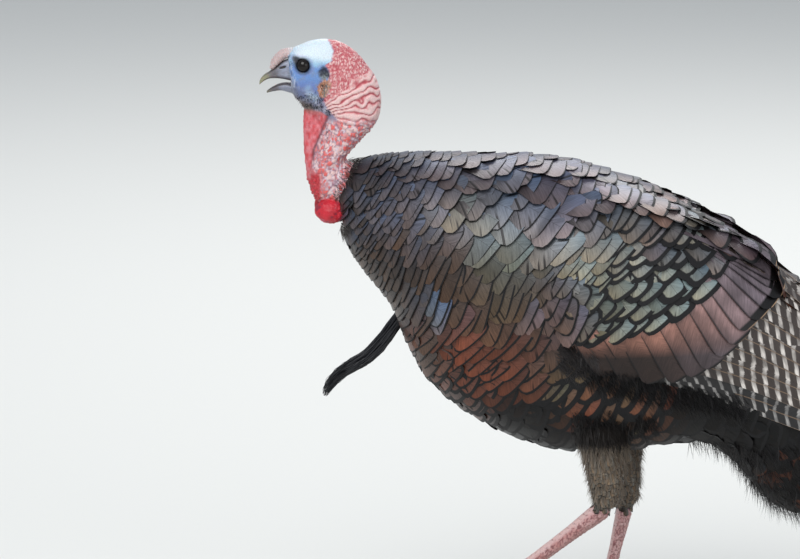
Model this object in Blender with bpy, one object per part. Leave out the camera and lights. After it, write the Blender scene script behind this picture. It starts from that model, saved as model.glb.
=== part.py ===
"""An adult male wild turkey at life size, walking, as a still museum model.

The bird faces -X and its left side is -Y. Sizes are in millimetres and become metres in the
meshes. The origin is the bottom centre of the bird's box, on the floor.
"""

import math

import bmesh
import bpy
import numpy as np
from mathutils import Matrix, Vector

MM = 0.001
GAP = 0.4  # clear space between neighbouring solids
SLIT = 0.012  # the same between pieces of the body, as a share of a row of its table
NECK_SLIT = 0.04
MOST_SWELL = 1.5  # keeps a cutter's sharp corners from growing spikes
SIDES = {"left": -1, "right": 1}  # which way along Y each side of the bird lies

# Sections of the feathered body, each in a plane that holds the Y axis:
# back x and z, belly x and z, half width
BODY = (
    (-339, 596, -350, 512, 33),
    (-298, 602.5, -325, 470, 60),
    (-243, 605, -286, 420, 87),
    (-174, 603, -258, 350, 106),
    (-98, 601, -186, 287, 115),
    (-27, 582, -92, 253, 113),
    (44, 550, 2, 254, 102),
    (114, 507, 91, 262, 80),
    (183, 452, 165, 182, 66),
    (250, 402, 245, 188, 63),
    (318, 349, 322, 238, 61),
)
BODY_SQUARE = 0.92  # below 1 the section is fuller than an ellipse

# The same for the fluff and coverts under the tail, which start where the rump ends
UNDERTAIL = (
    (181.5, 416, 166.5, 182, 55),
    (215, 397, 205, 171, 49),
    (250, 375, 247, 186, 45),
    (285, 352, 288, 213, 41),
    (320, 329, 328, 246, 34),
    (350, 310, 360, 276, 20),
)
BREAST_END = 2.0
TRUNK_END = 6.5
RUMP_END = 8.0
WING_REACH = 10.4

# Sections of the bare head and neck: crown or nape x and z, chin or throat x and z, half width
NECK = (
    (-411, 725, -406, 676, 11),
    (-406, 729, -403, 671, 16.5),
    (-397, 733, -398, 666, 19),
    (-384, 738, -394, 660, 20.5),
    (-367, 740, -390, 655, 21.5),
    (-349, 736, -386, 651, 22),
    (-333, 726, -383, 648, 22),
    (-319, 710, -379, 645, 21.5),
    (-308, 691, -376, 640, 21.5),
    (-303, 669, -374, 632, 21.5),
    (-307, 645, -375, 621, 21.5),
    (-323, 624, -378, 610, 22),
    (-334, 612, -383, 599, 22.5),
    (-340, 605, -387, 587, 22.5),
    (-343.5, 601.5, -387, 576, 22.5),
    (-343, 597.5, -378, 550, 23),
    (-339.9, 593, -346.9, 540, 24),
)
NECK_SQUARE = 1.0
BILL_SQUARE = 0.85
HEAD_END = 8.0
NECK_SPLIT = 12.0
NECK_END = 16.0

EYE_CENTRE = (-392.5, 13.6, 710.5)
EYE_RADIUS = 8.6

# The two halves of the bill: ridge x and z, lower edge x and z, half width, from root to tip
BILL_UPPER = (
    (-405, 720, -400, 688, 9.4),
    (-418, 713.5, -416, 692.5, 8.4),
    (-430, 703.5, -429, 693.5, 6.3),
    (-438, 698.5, -437, 691.5, 4.6),
    (-443, 693, -442.5, 687.5, 2.7),
    (-444.5, 688.5, -444.5, 685.5, 1.1),
)
BILL_LOWER = (
    (-399, 685.5, -399, 672.5, 8.6),
    (-410, 688.5, -409, 676.5, 8.2),
    (-420, 687.5, -419, 679, 6.8),
    (-428, 684, -428, 678, 4.8),
    (-434, 680, -434, 676.5, 2.5),
    (-436, 678, -436, 676, 1.1),
)

# The snood: x and z of its path from the forehead to its tip, half height, half width
SNOOD = (
    (-402, 725, 4, 5),
    (-411, 724, 5.5, 6),
    (-419, 720, 6, 6.5),
    (-426, 712, 5.2, 5.5),
    (-430, 703, 2.2, 2.4),
)
# The dewlap: x and z of its middle, half length, half width, from the chin down
DEWLAP = (
    (-385, 662, 8, 4),
    (-381, 645, 12.5, 7),
    (-379, 626, 14, 8.5),
    (-381, 608, 11.5, 8.5),
    (-383, 591, 8, 7),
    (-385, 572, 4, 4),
)
BULB_CENTRE = (-362, 12.5, 536)  # the great caruncle at the neck's base
BULB_RADII = (17, 14, 16)
# The beard: x and z of its path from the breast to its tip, half width
BEARD = (
    (-268, 428, 6),
    (-285, 402, 7),
    (-302, 378, 7.5),
    (-321, 359, 7),
    (-343, 347, 6.5),
    (-361, 331, 5.5),
    (-368, 317, 3),
)

TAIL_ROOT_X = 185
TAIL_TIP_X = 447
TAIL_TOP_Z = 439
TAIL_FALL = 0.70  # how steeply the tail slopes down
TAIL_THICK = 15
TAIL_CLEAR = 1.2  # how far the coverts over the tail stand off it

# Outlines of the folded wing as seen from the side, each from its top to its lowest point
WING_FRONT = ((-40, 575), (-98, 553), (-120, 505), (-106, 440), (-76, 396), (-34, 366))
WING_ARC = ((119, 498), (163, 457), (156, 423), (120, 388), (73, 362), (18, 352))
QUILL_ENDS = ((206, 428), (264, 383), (322, 330), (306, 284))
PRIMARY_TIP_LOW = (290, 257)
WRIST_LOW = (112, 313)
ARC_SPLIT = 0.6  # the share of the arc, from its top, that the secondaries come out of
WRIST_SHARE = 0.25  # how far back along the wing the primaries come out of their coverts
WING_CLEAR = 2.2  # how far the wing's inner face stands off the body

HOCK = {"left": (-36, 50, 192), "right": (-11, 45, 172)}
KNUCKLE = {"left": (-170, 43, 86), "right": (-50, -2, 15)}
HIP = {"left": (-6, 6, 104), "right": (-14, 6, 104)}  # from the hock
# Stations down each piece of a leg: share of its length, half height, half width
THIGH = ((0, 38, 29), (0.3, 30, 25), (0.55, 23.5, 20), (0.78, 19.5, 16.5), (0.93, 15.5, 14), (1, 11, 10))
SHANK = (
    (0, 8.7, 6.5),
    (0.05, 11.6, 8.3),
    (0.14, 10.9, 7.6),
    (0.3, 9.1, 6.2),
    (0.6, 8.3, 5.9),
    (0.88, 9.4, 7.6),
    (1, 8, 7.3),
)
SHANK_START = 1.5  # below the hock's middle
SPUR = ((0, 4.2), (0.35, 3.1), (0.7, 2), (1, 0.6))  # share of its length, radius
SPUR_LENGTH = 19
SPUR_AT = 0.7  # how far down the shank it grows
SPUR_CURL = 5  # how far its tip turns up
FOOT_PAD = (13, 11, 12)  # radii
PLANTED_BELOW = 20  # a knuckle lower than this belongs to the foot that bears the bird
# Each toe: its turn away from straight ahead, length, thickness at its root
TOES = {
    "middle": (0, 82, 12.5),
    "inner": (-33, 58, 11.5),
    "outer": (34, 62, 11.5),
    "hind": (167, 27, 8.5),
}
# The pads and joints along a toe: share of its length, thickness as a share of the root's
TOE_PADS = (
    (0.05, 1.0),
    (0.2, 1.08),
    (0.34, 0.86),
    (0.5, 1.02),
    (0.62, 0.8),
    (0.78, 0.92),
    (0.9, 0.72),
    (1.0, 0.5),
)
TOE_SETTLE = 0.8  # a planted pad's height as a share of its radius, as weight flattens it
TOE_ARCH = 5  # how far a toe that reaches down bows forward
HIND_PADS = ((0, 1), (0.35, 1), (0.7, 0.9), (1, 0.6))
# A claw: share of its length, half height, half width, drop (for a planted foot the last is
# worked out, so that the tip rests on the floor)
CLAW_ROWS = ((-0.1, 2.6, 2.9, 0), (0.3, 2.7, 2.8, -0.3), (0.65, 1.9, 2, 0.4), (1, 0.8, 0.8, 0))
CLAW_LENGTH = 15
HIND_CLAW_ROWS = ((-0.1, 2.3, 2.4), (0.3, 2.4, 2.4), (0.65, 1.7, 1.7), (1, 0.6, 0.6))
HIND_CLAW_LENGTH = 11

BARE_SKIN = ("bare_skin", (0.62, 0.16, 0.14), 0.5)
RED_SKIN = ("red_skin", (0.60, 0.03, 0.04), 0.4)
HORN = ("horn", (0.36, 0.32, 0.24), 0.4)
EYE = ("eye", (0.02, 0.014, 0.01), 0.1)
BRONZE = ("bronze_feather", (0.09, 0.06, 0.045), 0.45)
COPPER = ("copper_feather", (0.16, 0.07, 0.045), 0.4)
BARRED = ("barred_feather", (0.16, 0.13, 0.11), 0.55)
DARK = ("dark_feather", (0.035, 0.026, 0.022), 0.6)
BRISTLE = ("beard_bristle", (0.012, 0.012, 0.018), 0.6)
SCALES = ("leg_scale", (0.42, 0.22, 0.20), 0.5)
CLAW = ("claw_horn", (0.10, 0.08, 0.07), 0.4)


def clear_scene():
    """Empties the scene, so that only the bird is in it."""
    for obj in list(bpy.data.objects):
        bpy.data.objects.remove(obj)


def material(finish):
    """The named material, made once from its colour and roughness."""
    name, colour, roughness = finish
    made = bpy.data.materials.get(name)
    if made is None:
        made = bpy.data.materials.new(name)
        made.use_nodes = True
        shader = made.node_tree.nodes["Principled BSDF"]
        shader.inputs["Base Color"].default_value = (*colour, 1)
        shader.inputs["Roughness"].default_value = roughness
        shader.inputs["Metallic"].default_value = 0
    return made


def stations(table, place):
    """The row of a table of sections at any place along it, on a smooth curve through them."""
    rows = np.array(table, float)
    last = len(rows) - 1
    base = min(max(int(place), 0), last - 1)
    part = place - base
    near = [rows[min(max(base + step, 0), last)] for step in (-1, 0, 1, 2)]
    before, here, after, beyond = near
    linear = after - before
    square = 2 * before - 5 * here + 4 * after - beyond
    cube = 3 * here - before - 3 * after + beyond
    return (2 * here + linear * part + square * part**2 + cube * part**3) / 2


def section_point(table, place, angle, out, square):
    """A point of a section: angle 0 is the back, a quarter turn the left side, a half the belly."""
    top_x, top_z, low_x, low_z, half = stations(table, place)
    centre = Vector(((top_x + low_x) / 2, 0, (top_z + low_z) / 2))
    rise = Vector(((top_x - low_x) / 2, 0, (top_z - low_z) / 2))
    reach = rise.length
    across = math.copysign(abs(math.sin(angle)) ** square, math.sin(angle))
    along = math.copysign(abs(math.cos(angle)) ** square, math.cos(angle))
    side = Vector((0, -(half + out) * across, 0))
    return centre + rise * ((reach + out) / reach) * along + side


def placed(spot, way):
    """A place given for the left side, moved to the side it is for."""
    x, y, z = spot
    return Vector((x, way * y, z))


def new_object(name, points, faces, finish):
    """A smooth-shaded mesh object from points in millimetres."""
    mesh = bpy.data.meshes.new(name)
    mesh.from_pydata([Vector(point) * MM for point in points], [], faces)
    mesh.materials.append(material(finish))
    obj = bpy.data.objects.new(name, mesh)
    bpy.context.scene.collection.objects.link(obj)
    work = bmesh.new()
    work.from_mesh(mesh)
    bmesh.ops.remove_doubles(work, verts=work.verts, dist=0.01 * MM)
    bmesh.ops.recalc_face_normals(work, faces=work.faces)
    if work.calc_volume(signed=True) < 0:
        bmesh.ops.reverse_faces(work, faces=work.faces)
    work.to_mesh(mesh)
    work.free()
    mesh.shade_smooth()
    mesh.set_sharp_from_angle(angle=math.radians(40))
    return obj


def loft(name, rings, finish):
    """A closed solid through rings of equal count, with each end closed round its centre."""
    count = len(rings[0])
    points = [point for ring in rings for point in ring]
    faces = []
    for row in range(len(rings) - 1):
        for col in range(count):
            here = row * count + col
            step = row * count + (col + 1) % count
            faces.append((here, step, step + count, here + count))
    for row in (0, len(rings) - 1):
        centre = sum((Vector(point) for point in rings[row]), Vector()) / count
        points.append(centre)
        for col in range(count):
            here = row * count + col
            step = row * count + (col + 1) % count
            faces.append((here, step, len(points) - 1))
    return new_object(name, points, faces, finish)


def slab(name, rings, finish):
    """A closed plate: each ring runs along one face and back along the other, and so do its ends."""
    count = len(rings[0])
    faces = []
    for row in range(len(rings) - 1):
        for col in range(count):
            here = row * count + col
            step = row * count + (col + 1) % count
            faces.append((here, step, step + count, here + count))
    for row in (0, len(rings) - 1):
        for col in range(count // 2 - 1):
            start = row * count + col
            end = row * count + count - 1 - col
            faces.append((start, start + 1, end - 1, end))
    return new_object(name, [point for ring in rings for point in ring], faces, finish)


def table_loft(name, table, first, last, rows, sides, square, finish):
    """A length of the body or neck between two places of its table of sections."""
    rings = []
    for row in range(rows + 1):
        place = first + (last - first) * row / rows
        turns = [math.tau * col / sides for col in range(sides)]
        rings.append([section_point(table, place, turn, 0, square) for turn in turns])
    return loft(name, rings, finish)


def tube(name, path, sizes, finish, sides=10, floor=None):
    """A round rod along a path: sizes are its half height and half width at each point."""
    spots = [Vector(spot) for spot in path]
    rings = []
    across = None
    for index, spot in enumerate(spots):
        ahead = spots[min(index + 1, len(spots) - 1)] - spots[max(index - 1, 0)]
        ahead.normalize()
        if across is None:
            across = ahead.cross(Vector((0, 0, 1))).normalized()
        across = (across - ahead * across.dot(ahead)).normalized()
        rise = across.cross(ahead)
        high, wide = sizes[index]
        ring = []
        for col in range(sides):
            turn = math.tau * (col + 0.5) / sides
            point = spot + rise * high * math.cos(turn) + across * wide * math.sin(turn)
            if floor is not None:
                point.z = max(point.z, floor)
            ring.append(point)
        rings.append(ring)
    return loft(name, rings, finish)


def ellipsoid(name, centre, radii, finish, columns=14, rows=9):
    """A closed egg shape with its poles left and right."""
    rings = []
    for row in range(1, rows):
        fall = math.pi * row / rows
        ring = []
        for col in range(columns):
            turn = math.tau * col / columns
            ring.append(
                Vector(centre)
                + Vector(
                    (
                        radii[0] * math.sin(fall) * math.cos(turn),
                        radii[1] * math.cos(fall),
                        radii[2] * math.sin(fall) * math.sin(turn),
                    )
                )
            )
        rings.append(ring)
    obj = loft(name, rings, finish)
    for vertex in obj.data.vertices[-2:]:
        way = 1 if vertex.co.y > centre[1] * MM else -1
        vertex.co.y = (centre[1] + way * radii[1]) * MM
    return obj


def swollen(obj, amount):
    """A hidden cutter: a copy of a solid made larger by the gap that its neighbour keeps."""
    work = bmesh.new()
    work.from_mesh(obj.data)
    bmesh.ops.triangulate(work, faces=work.faces)
    work.normal_update()
    moves = [vertex.normal * min(vertex.calc_shell_factor(), MOST_SWELL) for vertex in work.verts]
    for vertex, move in zip(work.verts, moves):
        vertex.co += move * amount * MM
    mesh = bpy.data.meshes.new(obj.name + "_cutter")
    work.to_mesh(mesh)
    work.free()
    cutter = bpy.data.objects.new(mesh.name, mesh)
    bpy.context.scene.collection.objects.link(cutter)
    cutter.hide_render = True
    cutter.display_type = "WIRE"
    return cutter


def keep_largest(work):
    """Removes the crumbs that a cut leaves, so that one body stays."""
    left = set(work.faces)
    shells = []
    while left:
        shell = []
        edge = [left.pop()]
        while edge:
            face = edge.pop()
            shell.append(face)
            for side in face.edges:
                for other in side.link_faces:
                    if other in left:
                        left.discard(other)
                        edge.append(other)
        shells.append(shell)
    shells.sort(key=lambda shell: sum(face.calc_area() for face in shell))
    crumbs = [face for shell in shells[:-1] for face in shell]
    if crumbs:
        bmesh.ops.delete(work, geom=crumbs, context="FACES")


def carve(obj, *neighbours, gap=GAP):
    """Cuts a solid back to stay clear of its neighbours, and keeps its largest part."""
    cutters = [swollen(other, gap) for other in neighbours]
    for cutter in cutters:
        cut = obj.modifiers.new(cutter.name, "BOOLEAN")
        cut.operation = "DIFFERENCE"
        cut.object = cutter
    graph = bpy.context.evaluated_depsgraph_get()
    mesh = bpy.data.meshes.new_from_object(obj.evaluated_get(graph))
    obj.modifiers.clear()
    work = bmesh.new()
    work.from_mesh(mesh)
    bmesh.ops.dissolve_degenerate(work, edges=work.edges, dist=0.02 * MM)
    keep_largest(work)
    bmesh.ops.triangulate(work, faces=work.faces)
    work.to_mesh(mesh)
    work.free()
    obj.data = mesh
    for cutter in cutters:
        bpy.data.objects.remove(cutter)
    return obj


def blend(first, last, part):
    """A value between two others."""
    return first + (last - first) * part


def make_body():
    """The feathered trunk in three lengths: breast, trunk and rump."""
    breast = table_loft("breast", BODY, 0, BREAST_END - SLIT, 5, 24, BODY_SQUARE, BRONZE)
    trunk = table_loft("trunk", BODY, BREAST_END, TRUNK_END - SLIT, 8, 24, BODY_SQUARE, BRONZE)
    table_loft("rump", BODY, TRUNK_END, RUMP_END - SLIT, 4, 24, BODY_SQUARE, DARK)
    return breast, trunk


def make_head():
    """The bare head with its bill, snood and eyes, and the two lengths of the neck."""
    head = table_loft("head", NECK, 0, HEAD_END - NECK_SLIT, 11, 18, NECK_SQUARE, BARE_SKIN)
    shape_face(head)
    eyes = []
    for side, way in SIDES.items():
        x, y, z = EYE_CENTRE
        eyes.append(ellipsoid(f"eye_{side}", (x, way * y, z), (EYE_RADIUS,) * 3, EYE, 12, 6))
    last = len(BILL_UPPER) - 1
    upper = table_loft("bill_upper", BILL_UPPER, 0, last, 7, 12, BILL_SQUARE, HORN)
    lower = table_loft("bill_lower", BILL_LOWER, 0, last, 7, 12, BILL_SQUARE, HORN)
    carve(head, eyes[0], eyes[1], upper, lower)
    snood_path = [(x, 0, z) for x, z, _high, _wide in SNOOD]
    snood = tube("snood", snood_path, [row[2:] for row in SNOOD], BARE_SKIN, 12)
    carve(snood, head, upper)
    split = NECK_SPLIT - NECK_SLIT
    top = table_loft("neck_upper", NECK, HEAD_END, split, 6, 18, NECK_SQUARE, BARE_SKIN)
    low = table_loft("neck_lower", NECK, NECK_SPLIT, NECK_END, 6, 18, NECK_SQUARE, BARE_SKIN)
    return head, top, low


def shape_face(head):
    """Presses hollows before and behind the eyes and swells the brow and the cheek."""
    for vertex in head.data.vertices:
        spot = vertex.co / MM
        way = math.copysign(1, spot.y)
        out = abs(spot.y) / 22
        brow = math.exp(-(((spot.x + 396) / 13) ** 2) - ((spot.z - 726) / 5) ** 2)
        lore = math.exp(-(((spot.x + 411) / 7) ** 2) - ((spot.z - 708) / 9) ** 2)
        cheek = math.exp(-(((spot.x + 388) / 12) ** 2) - ((spot.z - 684) / 10) ** 2)
        throat = math.exp(-(((spot.x + 396) / 10) ** 2) - ((spot.z - 664) / 9) ** 2)
        vertex.co.y += way * out * (1.6 * brow - 2.2 * lore + 1.6 * cheek - 2 * throat) * MM


def make_wattles(head, top, low, breast):
    """The smooth dewlap down the throat and the two large caruncles at the neck's base."""
    turns = [math.tau * col / 10 for col in range(10)]
    rings = []
    for x, z, long, wide in DEWLAP:
        rings.append([(x + long * math.cos(turn), wide * math.sin(turn), z) for turn in turns])
    dewlap = loft("dewlap", rings, RED_SKIN)
    carve(dewlap, head, top, low)
    for side, way in SIDES.items():
        centre = placed(BULB_CENTRE, way)
        bulb = ellipsoid(f"caruncle_{side}", centre, BULB_RADII, RED_SKIN, 12, 6)
        made = [bpy.data.objects["caruncle_left"]] if side == "right" else []
        carve(bulb, low, breast, *made)


def make_beard(breast, trunk):
    """The beard: a brush of bristles on the breast that swings forward at a walk."""
    path = [(x, 0, z) for x, z, _size in BEARD]
    beard = tube("beard", path, [(size, size + 1) for _x, _z, size in BEARD], BRISTLE, 9)
    carve(beard, breast, trunk)


def tail_slab(name, first, last, rows, inner, outer, half, finish, end_round):
    """A roof-shaped slab over the tail: inner and outer give its two heights above the tail."""
    columns = 8
    rings = []
    for row in range(rows + 1):
        part = row / rows
        x = blend(first, last, part)
        wide = half(part)
        fall = tail_droop(x)
        ring = []
        for way, height in ((1, outer), (-1, inner)):
            for col in range(columns + 1):
                across = way * (1 - 2 * col / columns)
                edge = math.sqrt(max(0, 1 - across**2))
                back = end_round * part**3 * across**2
                spot_x = x - back
                top = TAIL_TOP_Z - TAIL_FALL * (spot_x - TAIL_ROOT_X)
                z = top - fall * (wide * across / 60) ** 2 + height(part, edge)
                ring.append((spot_x, wide * across, z))
        rings.append(ring)
    return slab(name, rings, finish)


def tail_droop(x):
    """How far the tail's sides hang below its middle, at 60 mm out."""
    return blend(58, 30, (x - TAIL_ROOT_X) / (TAIL_TIP_X - TAIL_ROOT_X))


def make_tail():
    """The closed fan of tail feathers, the coverts over it and the fluff under it."""
    tail_slab(
        "tail",
        TAIL_ROOT_X,
        TAIL_TIP_X,
        8,
        lambda part, edge: -TAIL_THICK * (1 - 0.55 * part) * (0.25 + 0.75 * edge),
        lambda part, edge: 0,
        lambda part: 40 + 8 * part + 28 * max(0, part - 0.45),
        BARRED,
        34,
    )
    tail_slab(
        "tail_coverts_upper",
        TAIL_ROOT_X,
        TAIL_ROOT_X + 165,
        7,
        lambda part, edge: TAIL_CLEAR,
        lambda part, edge: TAIL_CLEAR + blend(13, 2, part) * (0.2 + 0.8 * edge),
        lambda part: blend(43, 36, part),
        BRONZE,
        22,
    )
    last = len(UNDERTAIL) - 1
    table_loft("tail_coverts_under", UNDERTAIL, 0, last, 6, 20, BODY_SQUARE, DARK)


def on_body(x, z):
    """The place and angle on the body's table where its left side is seen at this x and z."""
    low, high = 0.0, WING_REACH
    for _ in range(40):
        place = (low + high) / 2
        top_x, top_z, low_x, low_z, _half = stations(BODY, place)
        lean = (x - low_x) * (top_z - low_z) - (z - low_z) * (top_x - low_x)
        if lean > 0:
            low = place
        else:
            high = place
    height = (z - (top_z + low_z) / 2) / ((top_z - low_z) / 2)
    height = min(max(height, -1), 1)
    along = math.copysign(abs(height) ** (1 / BODY_SQUARE), height)
    return place, math.acos(along)


def curve_at(points, part):
    """A point along an outline, on a smooth curve through its own points."""
    return stations(points, part * (len(points) - 1))


def wing_patch(name, way, front, rear, thick, finish, rows=8, columns=9):
    """A slab that lies on the body between two lines, each a function from 0, top, to 1, low."""
    front_at = [front(row / rows) for row in range(rows + 1)]
    rear_at = [rear(row / rows) for row in range(rows + 1)]
    grids = []
    for layer in (0, 1):
        grid = []
        for row in range(rows + 1):
            line = []
            for col in range(columns + 1):
                along = col / columns
                place = blend(front_at[row][0], rear_at[row][0], along)
                angle = blend(front_at[row][1], rear_at[row][1], along)
                out = WING_CLEAR + layer * thick(row / rows, along)
                point = section_point(BODY, place, angle, out, BODY_SQUARE)
                point.y *= -way
                line.append(point)
            grid.append(line)
        grids.append(grid)
    inner, outer = grids
    return slab(name, [inner[row] + outer[row][::-1] for row in range(rows + 1)], finish)


def swell(part, rise):
    """A rounded edge: 0 at either end of its span and 1 over its middle."""
    return min(1, min(part, 1 - part) * rise) ** 0.6


def edge_line(points, first=0.0, last=1.0, back=0.0, lower=0.0):
    """A stretch of an outline as a function of place and angle, moved back and down a little."""

    def at(part):
        place, angle = on_body(*curve_at(points, blend(first, last, part)))
        return place + back, angle + lower

    return at


def straight_line(start, end, back=0.0, lower=0.0):
    """The straight way over the body between two places and angles, as a function."""

    def at(part):
        return blend(start[0], end[0], part) + back, blend(start[1], end[1], part) + lower

    return at


def make_wing(side, way):
    """One folded wing: coverts, the secondaries behind them, and the primaries below."""
    wing_patch(
        f"wing_{side}",
        way,
        edge_line(WING_FRONT),
        edge_line(WING_ARC),
        lambda down, back: 2.5 + 12 * swell(down, 5) * min(1, back * 7) ** 0.6 * (1 - 0.3 * back),
        COPPER,
        10,
        8,
    )
    wing_patch(
        f"secondaries_{side}",
        way,
        edge_line(WING_ARC, 0, ARC_SPLIT, SLIT),
        edge_line(QUILL_ENDS),
        lambda down, back: 1.5 + 5.5 * (1 - back) * (0.35 + 0.65 * swell(down, 5)),
        BARRED,
        6,
        7,
    )
    start = edge_line(WING_ARC, 0, ARC_SPLIT, SLIT)(1)
    end = on_body(*QUILL_ENDS[-1])
    seam = straight_line(start, end, 0, SLIT)
    low_end = on_body(*PRIMARY_TIP_LOW)
    low_split = on_body(*WRIST_LOW)
    wing_patch(
        f"primary_coverts_{side}",
        way,
        lambda part: seam(0) if part == 0 else edge_line(WING_ARC, ARC_SPLIT, 1, SLIT)(part),
        straight_line(seam(WRIST_SHARE), low_split, -SLIT),
        lambda down, back: 1.2 + 3.5 * swell(down, 5),
        DARK,
        4,
        4,
    )
    wing_patch(
        f"primaries_{side}",
        way,
        straight_line(seam(WRIST_SHARE), low_split),
        straight_line(seam(1), low_end),
        lambda down, back: 1.2 + 3 * swell(down, 5) * (1 - 0.6 * back),
        BARRED,
        4,
        6,
    )


def make_leg(side, way, trunk):
    """One leg: feathered thigh, scaled shank with its spur, foot, toes and claws."""
    hock = placed(HOCK[side], way)
    knuckle = placed(KNUCKLE[side], way)
    hip = hock + placed(HIP[side], way)
    thigh_path = [hip.lerp(hock, share) for share, _high, _wide in THIGH]
    thigh = tube(f"thigh_{side}", thigh_path, [row[1:] for row in THIGH], BRONZE, 14)
    carve(thigh, trunk)
    down = (knuckle - hock).normalized()
    start = hock + down * SHANK_START
    shank_path = [start.lerp(knuckle, share) for share, _high, _wide in SHANK]
    shank = tube(f"shank_{side}", shank_path, [row[1:] for row in SHANK], SCALES, 12)
    carve(shank, thigh)
    spur_root = start.lerp(knuckle, SPUR_AT)
    spur_way = Vector((-down.z, -way * 0.35, down.x)).normalized()
    spots = []
    for share, _radius in SPUR:
        reach = SPUR[0][1] + SPUR_LENGTH * share
        spots.append(spur_root + spur_way * reach + Vector((0, 0, SPUR_CURL * share**2)))
    spur = tube(f"spur_{side}", spots, [(radius, radius) for _share, radius in SPUR], CLAW, 8)
    carve(spur, shank)
    make_foot(side, way, knuckle, shank)


def make_foot(side, way, knuckle, shank):
    """The foot's pad with four toes and their claws, planted flat or reaching down to the floor."""
    planted = knuckle.z < PLANTED_BELOW
    centre = knuckle - Vector((2, 0, 4))
    pad = ellipsoid(f"foot_{side}", centre, FOOT_PAD, SCALES, 10, 6)
    if planted:
        for vertex in pad.data.vertices:
            vertex.co.z = max(vertex.co.z, 0)
    carve(pad, shank)
    made = []
    for toe, (turn, length, thick) in TOES.items():
        heading = math.radians(turn) * way
        flat = Vector((-math.cos(heading), math.sin(heading), 0))
        if toe == "hind":
            solid, claw = make_hind_toe(side, knuckle, flat, length, thick, planted)
        elif planted:
            solid, claw = make_planted_toe(f"{toe}_{side}", knuckle, flat, length, thick)
        else:
            solid, claw = make_reaching_toe(f"{toe}_{side}", knuckle, flat, length, thick)
        carve(solid, pad, shank, *made)
        carve(claw, solid)
        if toe != "hind":
            made.append(solid)


def make_planted_toe(name, knuckle, flat, length, thick):
    """A toe that lies along the floor with its weight on its pads."""
    high = thick / 2
    path = []
    for share, size in TOE_PADS:
        settled = high * (1 - size * TOE_SETTLE) * min(1, share * 3)
        lift = high + 1.5 * max(0, 1 - share * 3) - settled
        path.append(Vector((knuckle.x, knuckle.y, lift)) + flat * length * share)
    sizes = [(high * size, high * size) for _share, size in TOE_PADS]
    solid = tube(f"toe_{name}", path, sizes, SCALES, 8, 0)
    tip = path[-1]
    ahead = (path[-1] - path[-3]).normalized()
    claw_path = []
    for share, _high, _wide, drop in CLAW_ROWS:
        fall = tip.z * 0.55 if share == 1 else drop
        claw_path.append(tip + ahead * CLAW_LENGTH * share - Vector((0, 0, fall)))
    claw = tube(f"claw_{name}", claw_path, [row[1:3] for row in CLAW_ROWS], CLAW, 6, 0)
    return solid, claw


def make_reaching_toe(name, knuckle, flat, length, thick):
    """A toe of the foot that is pushing off, which slants down until its claw meets the floor."""
    high = thick / 2
    root = knuckle - Vector((0, 0, 3))
    steepest = math.asin(0.93)
    fall = min(steepest, math.asin(min(1, root.z / (length + CLAW_LENGTH - 1.5))))
    ahead = flat * math.cos(fall) - Vector((0, 0, math.sin(fall)))
    path = []
    for share, _size in TOE_PADS:
        path.append(root + ahead * length * share + flat * TOE_ARCH * math.sin(math.pi * share))
    sizes = [(high * size, high * size) for _share, size in TOE_PADS]
    solid = tube(f"toe_{name}", path, sizes, SCALES, 8)
    tip = path[-1]
    onward = (path[-1] - path[-3]).normalized()
    claw_path = []
    for share, _high, _wide, drop in CLAW_ROWS:
        claw_path.append(tip + onward * CLAW_LENGTH * share - Vector((0, 0, drop)))
    claw = tube(f"claw_{name}", claw_path, [row[1:3] for row in CLAW_ROWS], CLAW, 6, 0)
    return solid, claw


def make_hind_toe(side, knuckle, flat, length, thick, planted):
    """The short hind toe, set higher on the shank, with its tip down on the floor."""
    high = thick / 2
    root = knuckle + Vector((5, 0, 6 if planted else -2))
    drop = root.z - thick * 0.36 if planted else 14
    bend = 0.9 if planted else 1
    path = []
    for share, _size in HIND_PADS:
        path.append(root + flat * length * share - Vector((0, 0, drop * share**bend)))
    sizes = [(high * size, high * size) for _share, size in HIND_PADS]
    floor = 0 if planted else None
    solid = tube(f"toe_hind_{side}", path, sizes, SCALES, 8, floor)
    tip = path[-1]
    fall = tip.z * 0.6 if planted else 4
    claw_path = []
    for share, _high, _wide in HIND_CLAW_ROWS:
        claw_path.append(tip + flat * HIND_CLAW_LENGTH * share - Vector((0, 0, fall * share)))
    claw = tube(f"claw_hind_{side}", claw_path, [row[1:] for row in HIND_CLAW_ROWS], CLAW, 6, floor)
    return solid, claw


def set_origin():
    """Hangs every solid on one empty that puts the box's bottom centre at the origin."""
    corners = []
    for obj in bpy.data.objects:
        corners += [obj.matrix_world @ vertex.co for vertex in obj.data.vertices]
    points = np.array(corners)
    low, high = points.min(0), points.max(0)
    hanger = bpy.data.objects.new("origin", None)
    bpy.context.scene.collection.objects.link(hanger)
    for obj in list(bpy.data.objects):
        if obj is not hanger:
            obj.parent = hanger
    middle = (low + high) / 2
    hanger.matrix_world = Matrix.Translation((-middle[0], -middle[1], -low[2]))


def main():
    """Builds the whole bird."""
    clear_scene()
    breast, trunk = make_body()
    head, top, low = make_head()
    make_wattles(head, top, low, breast)
    make_beard(breast, trunk)
    make_tail()
    for side, way in SIDES.items():
        make_wing(side, way)
        make_leg(side, way, trunk)
    set_origin()


main()
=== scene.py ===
"""The looks of an adult male wild turkey at life size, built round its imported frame.

It is laid out as an add-on: sizes and colours are properties, and each group of pieces is an
operator. The bird faces -X and its left side is -Y. Working sizes are in millimetres.
"""

import math
from itertools import product
from types import SimpleNamespace

import bpy
import numpy as np
from bpy.props import FloatProperty, FloatVectorProperty, PointerProperty
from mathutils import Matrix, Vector
from mathutils.bvhtree import BVHTree


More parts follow.
